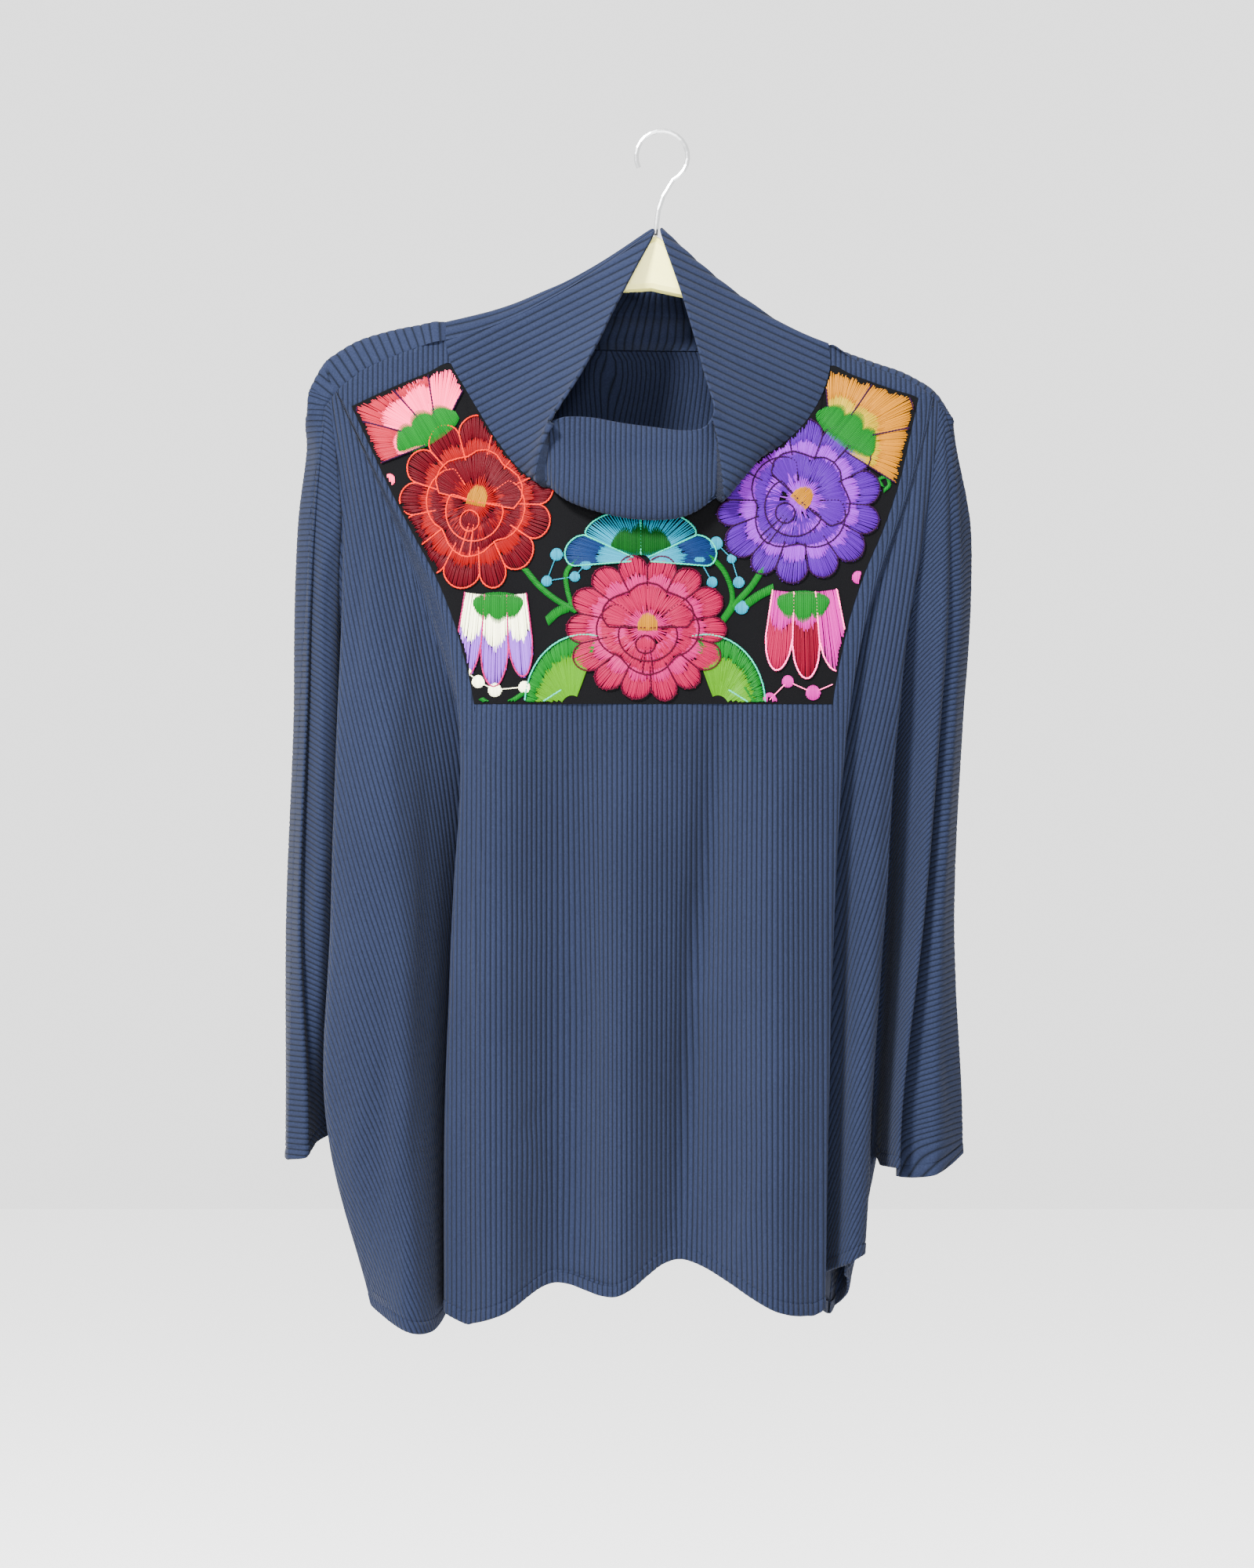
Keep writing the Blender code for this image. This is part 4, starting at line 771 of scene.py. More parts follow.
# Back: one cut of the same rib knit with both sleeve backs. It comes over the hanger's arms to the shoulder
# seams in front, and hangs behind in folds like the front's.
BACK_FOLDS = [
    FRONT_FOLDS[0],
    Fold("left outer edge", 1, (-264, -268, -269, -275, -275, -276), (2, 4, 6, 8, 10, 10), -746),
    Fold("left outer back", 1, (-263, -266, -267, -272, -270, -270), (14, 18, 20, 26, 32, 34), -743),
    Fold("left back crest", 2, (-252, -254, -254, -258, -257, -256), (20, 28, 34, 44, 50, 52), -738),
    Fold("left back inner", 2, (-240, -240, -240, -244, -247, -247), (21, 28, 32, 34, 34, 34), -731),
    Fold("left sleeve seam", 1, (-235, -235, -233, -235, -240, -238), (19, 22, 22, 16, 20, 20), -727),
    Fold("left side seam", 2, (-232, -230, -224, -221, -224, -208), (19, 22, 22, 16, 6, 2), -846),
    Fold("left fold outer", 3, (-230, -231, -232, -234, -232, -210), (21, 29, 36, 42, 44, 38), -846),
    Fold("left fold crest", 3, (-219, -210, -202, -192, -188, -180), (26, 37, 48, 60, 66, 68), -846),
    Fold("left fold inner", 3, (-209, -190, -176, -156, -150, -150), (27, 38, 46, 54, 56, 56), -846),
    Fold("left valley", 3, (-201, -174, -150, -128, -120, -122), (26, 34, 36, 32, 30, 30), -836),
    Fold("centre left edge", 1, (-197, -163, -140, -130, -128, -130), (27, 38, 48, 52, 54, 56), -838),
    Fold("yoke left edge", 4, (-193, -157, -125, -114, -110, -112), (28, 40, 52, 60, 64, 66), -836),
    Fold("first trough", 4, (-150, -118, -96, -88, -86, -88), (36, 44, 48, 50, 50, 50), -828),
    Fold("first ridge", 4, (-90, -74, -58, -52, -50, -50), (42, 50, 56, 66, 70, 72), -832),
    Fold("middle trough", 4, (-30, -20, -12, -10, -8, -8), (42, 46, 48, 48, 48, 48), -816),
    Fold("second ridge", 4, (28, 30, 32, 36, 38, 38), (40, 48, 54, 62, 66, 68), -818),
    Fold("right trough", 4, (90, 84, 78, 80, 80, 80), (36, 44, 48, 48, 50, 50), -828),
    Fold("yoke right edge", 1, (165, 137, 118, 114, 112, 108), (28, 40, 52, 60, 62, 64), -850),
    Fold("centre right edge", 3, (172, 149, 132, 126, 122, 116), (27, 38, 50, 56, 58, 58), -860),
    Fold("right valley", 2, (176, 156, 142, 136, 132, 122), (25, 31, 34, 28, 26, 24), -861),
    Fold("right fold crest", 2, (182, 168, 160, 152, 148, 127), (25, 34, 42, 50, 52, 42), -858),
    Fold("right fold outer edge", 2, (188, 179, 174, 168, 162, 134), (24, 31, 36, 40, 38, 28), -846),
    Fold("right side seam", 1, (190, 179, 166, 149, 139, 132), (20, 21, 20, 12, 4, 6), -822),
    Fold("right sleeve seam", 3, (192, 183, 175, 161, 152, 149), (20, 21, 20, 12, 6, 6), -750),
    Fold("second fold edge", 2, (203, 201, 195, 188, 182, 181), (22, 29, 33, 36, 38, 38), -752),
    Fold("right outer groove", 2, (208, 207, 203, 198, 196, 196), (20, 26, 30, 33, 36, 36), -753),
    Fold("right outer back", 2, (216, 218, 214, 208, 212, 213), (10, 14, 16, 18, 20, 20), -748),
    FRONT_FOLDS[-1],
]

# The back neckline from the left corner to the right one, behind the hanger
BACK_NECK = [(-150, 14, -150), (-110, 24, -151.5), (-60, 34, -154), (-5, 38, -155), (45, 35, -155),
             (88, 26, -154.5), (116, 14, -157)]

BACK_CREASES = [Crease(*row) for row in (
    (-150, -200, -196, -420, 9, 2.0), (-96, -190, -120, -420, 8, -1.5), (96, -190, 130, -400, 9, 1.8),
    (20, -176, 34, -330, 10, -1.2), (-52, -180, -40, -300, 8, 1.2), (-110, -440, -60, -520, 9, 1.3),
    (60, -470, 118, -560, 8, 1.4), (-30, -600, 28, -660, 8, -1.1), (70, -700, 40, -820, 8, 1.5),
    (-74, -720, -96, -830, 7, 1.4), (-188, -560, -210, -790, 9, 2.0), (150, -440, 158, -640, 7, 1.6),
    (-246, -300, -256, -480, 6, 1.7), (-252, -540, -262, -700, 6, -1.5), (198, -300, 192, -520, 6, 1.7),
    (206, -560, 204, -720, 6, -1.4),
)]
UNDERARM_GAP = 2.2
# The cloth is drawn across the hanger's arms, so the ribs are wider apart there
SHOULDER_STRETCH = 0.62
# The upper outline, where the cloth lies over the hanger: from the overarm seam up to the neck
LEFT_RIDGE = [(-260, 0, -204), (-258, 0, -191), (-252.5, 0, -178.5), (-245.5, 0, -167.5), (-234.5, 0, -158.5),
              (-225, 0, -153.5), (-209, 0, -147.5), (-198, 0, -144.8), (-180, 0, -141), (-158, 0, -138.5)]
RIGHT_RIDGE = [(212, 0, -213), (205, 0, -201), (198, 0, -190.5), (189, 0, -183), (180, 0, -177.5),
               (162, 0, -171), (144, 0, -164.5), (134, 0, -161), (119, 0, -156)]
RIDGE_CORNER = 0.33


def arch(top, ridge, back):
    """Rows over the hanger's arm: from the seam in front, over the ridge, to the back."""
    top = np.asarray(top, float)
    ridge = np.asarray(ridge, float)
    back = np.asarray(back, float)
    return np.array([
        top,
        top * 0.1 + ridge * 0.9 + np.array([0, -5.2, 0]),
        ridge,
        back * 0.12 + ridge * 0.88 + np.array([0, 5.0, 0.6]),
        back,
    ])


def left_arch(top, share):
    """The rows over the left arm at a share of the wing, and where they end behind it."""
    ridge = along(LEFT_RIDGE, share * RIDGE_CORNER)[0]
    back = (ridge[0] * 0.85 + top[0] * 0.15, 9 + 4 * share, -236 + 50 * share)
    side = np.array([top, (-254, -9, -207), (-258.5, -3, -212), (-260, 3, -221), (-260.5, 7, -233)])
    over = min(1, share / 0.3)
    rows = arch(top, ridge, back) * over + side * (1 - over)
    return rows, tuple(rows[-1])


def right_arch(top, share):
    """The rows over the right arm at a share of the wing, and where they end behind it."""
    ridge = along(RIGHT_RIDGE, (1 - share) * RIDGE_CORNER)[0]
    back = (ridge[0], 13 - 5 * share, -198 - 40 * share)
    return arch(top, ridge, back), back


def back_straps(left_seam, right_seam, left_line, right_line):
    """The cloth over the hanger's arms, from the seams in front to behind the arms."""
    left_rows = np.zeros((BEHIND_ROW + 1, STRAP_CELLS + 1, 3))
    right_rows = np.zeros((BEHIND_ROW + 1, STRAP_CELLS + 1, 3))
    for place in range(STRAP_CELLS + 1):
        share = place / STRAP_CELLS
        for rows, seam, corner, line, outline, part in (
            (left_rows, left_seam, BACK_NECK[0], left_line, LEFT_RIDGE, share),
            (right_rows, right_seam, BACK_NECK[-1], right_line, RIGHT_RIDGE, 1 - share),
        ):
            back = np.asarray(line[BEHIND_ROW]) * (1 - part) + np.asarray(corner) * part
            ridge = along(outline, RIDGE_CORNER + (1 - RIDGE_CORNER) * part)[0]
            rows[:, place] = arch(seam[place], ridge, back)
    left_rows[:, 0] = left_line[: BEHIND_ROW + 1]
    right_rows[:, -1] = right_line[: BEHIND_ROW + 1]
    left_rows[BEHIND_ROW, -1] = BACK_NECK[0]
    right_rows[BEHIND_ROW, 0] = BACK_NECK[-1]
    return left_rows, right_rows


def with_shoulder(ribs, grid, seam, first, last):
    """Ribs square to the shoulder seam down to row first, turning into the others by row last."""
    over = run_along(seam, grid) * SHOULDER_STRETCH
    if seam[0][0] > seam[-1][0]:
        over = -over
    share = np.clip((np.arange(len(grid)) - first) / (last - first), 0, 1)[:, None]
    half = slice(None, grid.shape[1] // 2) if seam[0][0] < 0 else slice(grid.shape[1] // 2, None)
    over = over + (ribs[last] - over[last])[half].mean()
    return over * (1 - share) + ribs * share


back_grid = panel_grid(BACK_FOLDS, (left_arch, right_arch), BACK_NECK, back_straps)
for line in (LEFT_SLEEVE_LINE, LEFT_SIDE_LINE, RIGHT_SIDE_LINE, RIGHT_SLEEVE_LINE):
    column = column_of(line, FRONT_FOLDS)
    back_grid[UNDERARM_ROW + 1 :, column] = front_grid[UNDERARM_ROW + 1 :, column]
    back_grid[UNDERARM_ROW, column] = front_grid[UNDERARM_ROW, column] + (0, UNDERARM_GAP, 0)
back_grid[:, 0] = front_grid[:, 0]
back_grid[:, -1] = front_grid[:, -1]
back_middle = back_grid.shape[1] // 2
back_halves = [
    [with_shoulder(ribs, back_grid, seam, 2, BEHIND_ROW)
     for ribs in (side_ribs(back_grid, BACK_FOLDS, side), body_ribs(back_grid, True))]
    for side, seam in (("left", LEFT_SHOULDER), ("right", RIGHT_SHOULDER))
]
back_body = np.concatenate([back_halves[0][1][:, :back_middle], back_halves[1][1][:, back_middle:]], axis=1)
back_ribs = (sleeve_ribs(back_grid, BACK_FOLDS, "left"), back_halves[0][0], back_body, back_body, back_body,
             back_halves[1][0], sleeve_ribs(back_grid, BACK_FOLDS, "right"))
back_seams = [back_grid[:, 0], back_grid[:, -1], back_grid[0, : neck_first + 1], back_grid[0, neck_last:],
              back_grid[BEHIND_ROW, neck_first : neck_last + 1], *underarm_seams]
back_cells = np.ones(front_cells.shape, bool)
back_cells[:BEHIND_ROW, neck_first:neck_last] = False
back_cells[UNDERARM_ROW:, [left_slit, right_slit]] = False
back = Panel("back", back_grid, back_cells, BACK_FOLDS, True, BACK_CREASES, back_seams)
back_pieces = [add_stretch(back, stretch, ribs) for stretch, ribs in zip(STRETCHES, back_ribs)]

# Yoke: a panel of plain black cotton, worked by hand with flowers in satin stitch and set into the front.
# Little of the cotton shows between the flowers.

# Plain weave cotton: matt black, with threads just over half a millimetre apart that cross over and under
COTTON_THREAD = 0.5712
cotton, cotton_shader = new_material("black plain weave cotton")
cotton_place = add_node(cotton, "TexCoord").outputs["Object"]
cotton_warp, cotton_weft = [
    add_node(cotton, "TexWave", {"Vector": cotton_place, "Scale": math.pi / (10 * COTTON_THREAD * MM)},
             bands_direction=way)
    for way in ("X", "Z")
]
cotton_weave = add_node(cotton, "Math", {0: cotton_warp.outputs["Fac"], 1: cotton_weft.outputs["Fac"]},
                        operation="MAXIMUM")
cotton_colour = add_node(cotton, "ValToRGB", {"Fac": cotton_weave.outputs[0]})
cotton_colour.color_ramp.elements[0].color = linear("#010102")
cotton_colour.color_ramp.elements[1].color = linear("#040405")
cotton_bump = add_node(cotton, "Bump", {"Height": cotton_weave.outputs[0], "Strength": 0.5,
                                        "Distance": 0.3 * MM})
set_inputs(cotton, cotton_shader, {"Base Color": cotton_colour.outputs["Color"],
                                   "Normal": cotton_bump.outputs["Normal"],
                                   "Roughness": 0.85, "Specular IOR Level": 0.05})
YOKE_STEP = 6
YOKE_OUT = 0.5
yoke_rows = places_for(front_grid[:, yoke_first : yoke_last + 1], 0, BAND_ROW, YOKE_ROW, YOKE_STEP)
yoke_columns = places_for(front_grid, 1, yoke_first, yoke_last, YOKE_STEP)
yoke_points = finer(front_grid[BAND_ROW:], yoke_rows - BAND_ROW, yoke_columns)
yoke_points = yoke_points + surface_normals(yoke_points, False) * YOKE_OUT
yoke_cells = np.ones((len(yoke_rows) - 1, len(yoke_columns) - 1), bool)
yoke = grid_mesh("yoke_cotton", yoke_points, yoke_cells, {}, cotton)
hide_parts("yoke")

# Embroidery: common flowers, buds and leaves of the Mexican kind, worked by hand in satin stitch.
# Each stitch lies from the inner to the outer edge of its petal; a couched cord in another colour goes round.
THREADS = {
    "crimson": "#340006", "scarlet": "#5a0002", "orange red": "#a01200", "violet": "#30005e",
    "mauve": "#5e0088", "plum": "#16021a", "hot pink": "#6a0026", "rose": "#7a0440", "wine": "#2e0010",
    "amber": "#764a00", "turquoise": "#005c70", "deep blue": "#051838", "green": "#00440e",
    "dark green": "#032c08", "salmon": "#760c1e", "pale pink": "#d0305c", "yellow": "#7a6400",
    "orange": "#7c4c00", "white": "#dcdcb8", "lilac": "#623292", "magenta": "#860064",
    "deep red": "#4c0012", "blush": "#e85090", "lime": "#2e5a00", "mint": "#00866e",
}
STITCH_WIDTH = 1.1
STITCH_PITCH = 0.92
STITCH_LIFT = 0.95
# A stitch's rounded section: shares of its width, and their heights in millimetres
STITCH_SECTION = ((-0.5, -0.3), (-0.28, 0.16), (0.28, 0.16), (0.5, -0.3))
EDGE_MARGIN = 1.2
chance = np.random.default_rng(7)

# Mercerised cotton floss: long parallel fibres with a silky shine, each stitch a little different.
# The fibres are drawn 0.4 mm apart, coarser than they are, so that they show
satin_floss, floss_shader = new_material("mercerised cotton satin stitch")
floss_thread = add_node(satin_floss, "Attribute", attribute_name="thread")
floss_place = add_node(satin_floss, "TexCoord").outputs["Object"]
floss_fibre = add_node(satin_floss, "TexNoise", {"Vector": floss_place, "Scale": 2.6 / MM, "Detail": 2})
floss_bump = add_node(satin_floss, "Bump", {"Height": floss_fibre.outputs["Fac"], "Strength": 0.35,
                                            "Distance": 0.2 * MM})
set_inputs(satin_floss, floss_shader, {"Base Color": floss_thread.outputs["Color"],
                                       "Normal": floss_bump.outputs["Normal"],
                                       "Roughness": 0.42, "Specular IOR Level": 0.04})

yoke_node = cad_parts["yoke"]
yoke_surface = BVHTree.FromPolygons(
    [yoke_node.matrix_world @ vertex.co for vertex in yoke_node.data.vertices],
    [tuple(face.vertices) for face in yoke_node.data.polygons],
)

# Where a motif sits: its centre or stem end, its turn clockwise in degrees, its half width and half height
Seat = namedtuple("Seat", "x z turn wide tall")


def turned(seat, angle, share):
    """The place at an angle from a motif's own top, clockwise, and a share of its half width and height."""
    right = seat.wide * share * math.sin(math.radians(angle))
    up = seat.tall * share * math.cos(math.radians(angle))
    turn = math.radians(seat.turn)
    return (seat.x + right * math.cos(turn) + up * math.sin(turn),
            seat.z - right * math.sin(turn) + up * math.cos(turn))


def on_yoke(x, z):
    """The place and normal on the yoke's face at (x, z), or None beyond its edges."""
    spot, normal, _, _ = yoke_surface.ray_cast(Vector((x, -200, z)) * MM, Vector((0, 1, 0)))
    return None if spot is None or normal.y > -0.1 else (np.array(spot) / MM, np.array(normal))


def is_inside(x, z):
    """Whether a stitch may end at (x, z): on the yoke and clear of its seams."""
    margins = (-EDGE_MARGIN, EDGE_MARGIN)
    return all(on_yoke(x + dx, z + dz) is not None for dx in margins for dz in margins)


class Stitches:
    """The stitches of one motif, gathered and then made into one mesh."""

    def __init__(self):
        self.points, self.faces, self.colours = [], [], []

    def add(self, start, end, colour, lift=0.0, width=STITCH_WIDTH, arch=0.35):
        """One stitch from start to end in the front view, cut short where it would leave the yoke."""
        start, end = np.asarray(start, float), np.asarray(end, float)
        count = max(4, int(np.linalg.norm(end - start) / 3) + 1)
        route = [start + (end - start) * share for share in np.linspace(0, 1, count)]
        kept = [spot for spot in route if is_inside(*spot)]
        if len(kept) < 2:
            return
        run = kept[-1] - kept[0]
        length = np.linalg.norm(run)
        if length < 0.8:
            return
        count = 3 if length < 5 else 4 if length < 11 else 5
        side = np.array([-run[1], run[0]]) / length
        first = len(self.points)
        tint = np.array(linear(THREADS[colour])[:3]) * chance.uniform(0.82, 1.12)
        for step, share in enumerate(np.linspace(0, 1, count)):
            spot = on_yoke(*(kept[0] + run * share))
            if spot is None:
                del self.points[first:]
                return
            place, normal = spot
            inner = 0 < share < 1
            rise = STITCH_LIFT + lift + (arch * math.sin(math.pi * share) ** 0.5 if inner else -0.4)
            for part, up in STITCH_SECTION:
                offset = side * part * width * (1 if inner else 0.6)
                self.points.append(place + (offset[0], 0, offset[1]) + normal * (rise + up))
            if step:
                corner = first + (step - 1) * 4
                self.faces += [(a, a + 1, a + 5, a + 4) for a in range(corner, corner + 3)]
        self.colours += [(*tint, 1)] * (count * 4)

    def fan(self, seat, start, end, inner, outer, bands, lift=0.0):
        """A petal: stitches that fan out between two reaches, in bands of colour with ragged joins."""
        reach = max(outer(share) for share in np.linspace(0, 1, 9)) * (seat.wide + seat.tall) / 2
        count = max(2, int(abs(math.radians(end - start)) * reach / STITCH_PITCH))
        for low, high, colour in bands:
            for step in range(count):
                share = (step + 0.5) / count
                near, far = inner(share), outer(share)
                wobble = chance.uniform(-2.6, 2.6, 2) / (reach * (far - near))
                a = near + (far - near) * (low + (wobble[0] if low > 0 else 0))
                b = near + (far - near) * (high + (wobble[1] if high < 1 else wobble[1] * 0.4))
                if a * reach < 6 and step % 2 or a * reach < 2.5 and step % 4:
                    continue
                angle = start + (end - start) * share + chance.uniform(-0.5, 0.5) * min(1, 60 / reach)
                self.add(turned(seat, angle, a), turned(seat, angle, b), colour, lift)

    def patch(self, seat, top, foot, colour, lift=0.0):
        """A shape of parallel stitches, between a top and a foot edge given across its width from -1 to 1."""
        pitch = STITCH_PITCH / seat.wide
        for shift in np.arange(-1 + 0.4 * pitch, 1, pitch):
            foot_end, top_end = [
                turned(seat, math.degrees(math.atan2(shift, reach)), math.hypot(shift, reach))
                for reach in (-foot(shift) * chance.uniform(0.95, 1), top(shift) * chance.uniform(0.97, 1))
            ]
            self.add(foot_end, top_end, colour, lift)

    def cord(self, route, colour, lift=0.75, width=1.25, step=2.4):
        """A couched cord: short stitches end to end along a route."""
        route = np.asarray(route, float)
        keys = line_length(route)
        places = np.linspace(0, keys[-1], max(1, round(keys[-1] / step)) + 1)
        marks = np.stack([np.interp(places, keys, route[:, k]) for k in (0, 1)], axis=1)
        for a, b in zip(marks, marks[1:]):
            run = b - a
            slip = np.array([-run[1], run[0]]) * chance.uniform(0.04, 0.14)
            self.add(a - run * 0.12 - slip, b + run * 0.12 + slip, colour, lift, width, 0.2)

    def stem(self, route, width):
        """A stem of short slanting stitches across its line."""
        count = max(3, int(line_length(route)[-1] / 0.9))
        marks = along([(x, 0, z) for x, z in route], np.linspace(0, 1, count))
        for a, b in zip(marks, marks[1:]):
            run = (b - a)[[0, 2]] / np.linalg.norm(b - a)
            side = np.array([-run[1], run[0]]) * width / 2
            middle = (a + b)[[0, 2]] / 2
            self.add(middle - side - run * 1.2, middle + side + run * 1.2, "green", 0.0, 1.0, 0.3)

    def dot(self, x, z, radius, colour):
        """A small round dot of parallel stitches."""
        for shift in np.arange(-radius + 0.45, radius, 0.85):
            half = math.sqrt(max(0.2, radius**2 - shift**2))
            self.add((x + shift, z - half), (x + shift * 0.9, z + half), colour, 0.1)

    def finish(self, motif, thread, on_pad=True):
        """The gathered stitches as one piece, in place of the motif's solid pad where it has one."""
        mesh = bpy.data.meshes.new("satin_" + motif)
        mesh.from_pydata([tuple(point * MM) for point in self.points], [], self.faces)
        layer = mesh.attributes.new("thread", "FLOAT_COLOR", "POINT")
        layer.data.foreach_set("color", np.array(self.colours, np.float32).ravel())
        mesh.shade_smooth()
        mesh.materials.append(satin_floss)
        item = put("satin_" + motif, mesh)
        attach(item, "root")
        if on_pad:
            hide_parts("embroidery_" + motif)


def scallops(reach, lobes, depth):
    """An outer edge in rounded lobes, as a reach for each share of the way along it."""
    return lambda share: reach * (1 - depth * (1 - abs(math.sin(math.pi * lobes * share)) ** 0.6))


def disc(x):
    """The half height of a disc across its width, rounded off at its ends."""
    return math.sqrt(1.01 - x * x)


def flower(name, seat, petals, main, light, edge, eye="amber"):
    """A double flower: a ring of petals, two curved side petals, a bowl, a scalloped crown and an eye."""
    work = Stitches()
    tones = ((0.42, 1, main), (0, 0.48, light))

    def petal(start, end, near, far, lift):
        """One petal and the cord round it."""
        work.fan(seat, start, end, lambda s: near, far, tones, lift)
        rim = [turned(seat, start + (end - start) * s, far(s)) for s in np.linspace(0, 1, 15)]
        work.cord([turned(seat, start, near), *rim, turned(seat, end, near)], edge, lift + 0.75)

    gaps = chance.uniform(-3, 3, petals)
    starts = [360 / petals * k + gaps[k] for k in range(petals)]
    for start, end in zip(starts, [*starts[1:], starts[0] + 360]):
        petal(start, end, 0.50, scallops(chance.uniform(0.95, 1.0), 1, 0.17), 0.0)
    for start, end in ((48, 186), (-48, -186)):
        petal(start, end, 0.24, lambda s: 0.47 + 0.15 * abs(math.sin(math.pi * 1.5 * s)) ** 0.7, 0.2)
    petal(84, 276, 0.02, lambda s: 0.33 + 0.11 * math.sin(math.pi * s), 0.4)
    petal(-88, 88, 0.02, scallops(0.60, 3, 0.2), 0.6)
    bud = Seat(*turned(seat, 188, 0.22), seat.turn, 0.11 * seat.wide, 0.11 * seat.tall)
    work.patch(bud, disc, disc, main, 0.7)
    ring = [(bud.x + 0.12 * seat.wide * math.sin(a), bud.z + 0.12 * seat.tall * math.cos(a))
            for a in np.linspace(0, 6.3, 14)]
    work.cord(ring, edge, 1.3)
    middle = Seat(*turned(seat, 0, 0.04), seat.turn, 0.12 * seat.wide, 0.16 * seat.tall)
    work.patch(middle, disc, lambda x: 0.5, eye, 1.2)
    work.finish(name + "_flower", name)


def bell(name, seat, near, petals, edge, sepal, leaf="green"):
    """A bell flower: petals that spread from beyond its stem, with their angles and colours, and a sepal."""
    work = Stitches()
    for start, end, reach, tones in petals:
        far = scallops(reach, 1, 0.12)
        work.fan(seat, start, end, lambda s: near, far, tones)
        rim = [turned(seat, start + (end - start) * s, far(s)) for s in np.linspace(0, 1, 12)]
        work.cord([turned(seat, start, near), *rim, turned(seat, end, near)], edge)
    work.patch(
        sepal,
        lambda x: (0.66 + 0.34 * abs(math.cos(1.5 * math.pi * x)) ** 0.6) * math.sqrt(1.02 - x * x),
        lambda x: 0.45 * math.sqrt(1.02 - x * x), leaf, 0.7,
    )
    work.finish(name + "_bell", name)


flower("red", Seat(-135, -271, 12, 58, 65), 13, "crimson", "scarlet", "orange red")
flower("purple", Seat(97, -270, 42, 60, 63), 14, "violet", "mauve", "plum")
flower("pink", Seat(-12, -362, 0, 59, 54), 14, "hot pink", "rose", "wine")
PLAIN_BLUE = ((0, 1, "turquoise"),)
BLUE_TIP = ((0, 0.55, "turquoise"), (0.5, 1, "deep blue"))
bell("turquoise", Seat(-17, -314, 0, 55, 38), 0.12,
     ((-96, -56, 1.0, BLUE_TIP), (-56, 0, 0.98, PLAIN_BLUE), (0, 56, 0.98, PLAIN_BLUE),
      (56, 96, 1.0, BLUE_TIP)), "mint", Seat(-17, -303, 0, 21, 16), "dark green")
PINK_PETAL = ((0, 0.66, "pale pink"), (0.6, 1, "salmon"))
SALMON_PETAL = ((0, 0.45, "pale pink"), (0.4, 1, "salmon"))
bell("salmon", Seat(-163, -226, -45, 66, 66), 0.15,
     ((-66, -30, 0.95, SALMON_PETAL), (-30, 4, 1.0, PINK_PETAL), (4, 36, 0.98, PINK_PETAL),
      (36, 70, 0.93, ((0, 1, "pale pink"),))), "plum", Seat(-170, -220, -30, 25, 19))
GOLD_PETAL = ((0, 0.5, "yellow"), (0.45, 1, "orange"))
bell("yellow", Seat(121, -228, 56, 66, 66), 0.15,
     ((-62, -22, 0.95, GOLD_PETAL), (-22, 22, 1.0, GOLD_PETAL), (22, 66, 0.95, GOLD_PETAL)),
     "plum", Seat(130, -221, 38, 25, 20))
LILAC_PETAL = ((0, 0.6, "white"), (0.54, 1, "lilac"))
bell("lilac", Seat(-118, -184, 181, 220, 220), 0.70,
     ((-8.2, -2.9, 0.97, LILAC_PETAL), (-2.9, 2.9, 1.0, LILAC_PETAL), (2.9, 8.2, 0.975, LILAC_PETAL)),
     "rose", Seat(-119, -343, 180, 18, 16))
RED_PETAL = ((0, 0.45, "magenta"), (0.4, 1, "deep red"))
bell("magenta", Seat(98, -198, 179, 200, 200), 0.69,
     ((-9.6, -3.2, 0.98, ((0, 1, "magenta"),)), (-3.2, 3.2, 1.0, RED_PETAL),
      (3.2, 9.6, 0.975, ((0, 0.5, "magenta"), (0.45, 1, "hot pink")))), "blush", Seat(99, -342, 180, 19, 16))


def leaf_edge(share):
    """How far a leaf reaches, from its stem to its tip."""
    return 0.72 + 0.28 * share**1.5


for name, x, start, end in (("left_leaf", -66, -92, 24), ("right_leaf", 38, 92, -24)):
    leaf = Stitches()
    seat = Seat(x, -420, 0, 46, 56)
    leaf.fan(seat, start, end, lambda s: 0.18, leaf_edge, ((0, 0.72, "lime"), (0.68, 1, "green")), -0.35)
    rim = [turned(seat, start + (end - start) * s, leaf_edge(s) * 1.02) for s in np.linspace(0, 1, 14)]
    leaf.cord(rim, "mint", 0.5)
    leaf.cord([turned(seat, start, 0.7), turned(seat, (start + end) / 2, 0.3)], "mint", 0.3)
    leaf.finish(name, "lime")

# Stems and dots: green stems of short slanting stitches, and dots of parallel stitches on thin chains.
# They were worked last, and fill the ground between the flowers.
vines = Stitches()
for route, width in (
    (((-100, -319), (-89, -332), (-70, -346), (-62, -350)), 4.2),
    (((-61, -311), (-70, -322), (-69, -336), (-66, -346)), 3.4),
    (((-68, -347), (-76, -350), (-84, -357)), 6.5),
    (((29, -307), (43, -322), (48, -344), (41, -356)), 3.6),
    (((71, -318), (62, -332), (52, -343), (42, -356)), 4.6),
    (((78, -333), (68, -338), (58, -345)), 6.2),
    (((158, -262), (162, -258), (160, -252), (155, -254), (157, -259)), 2.6),
    (((57, -404), (62, -412), (68, -420)), 3.0),
    (((-131, -412), (-124, -416), (-112, -415), (-100, -408)), 3.2),
):
    vines.stem(route, width)
vines.finish("stems", "lime", False)
dots = Stitches()
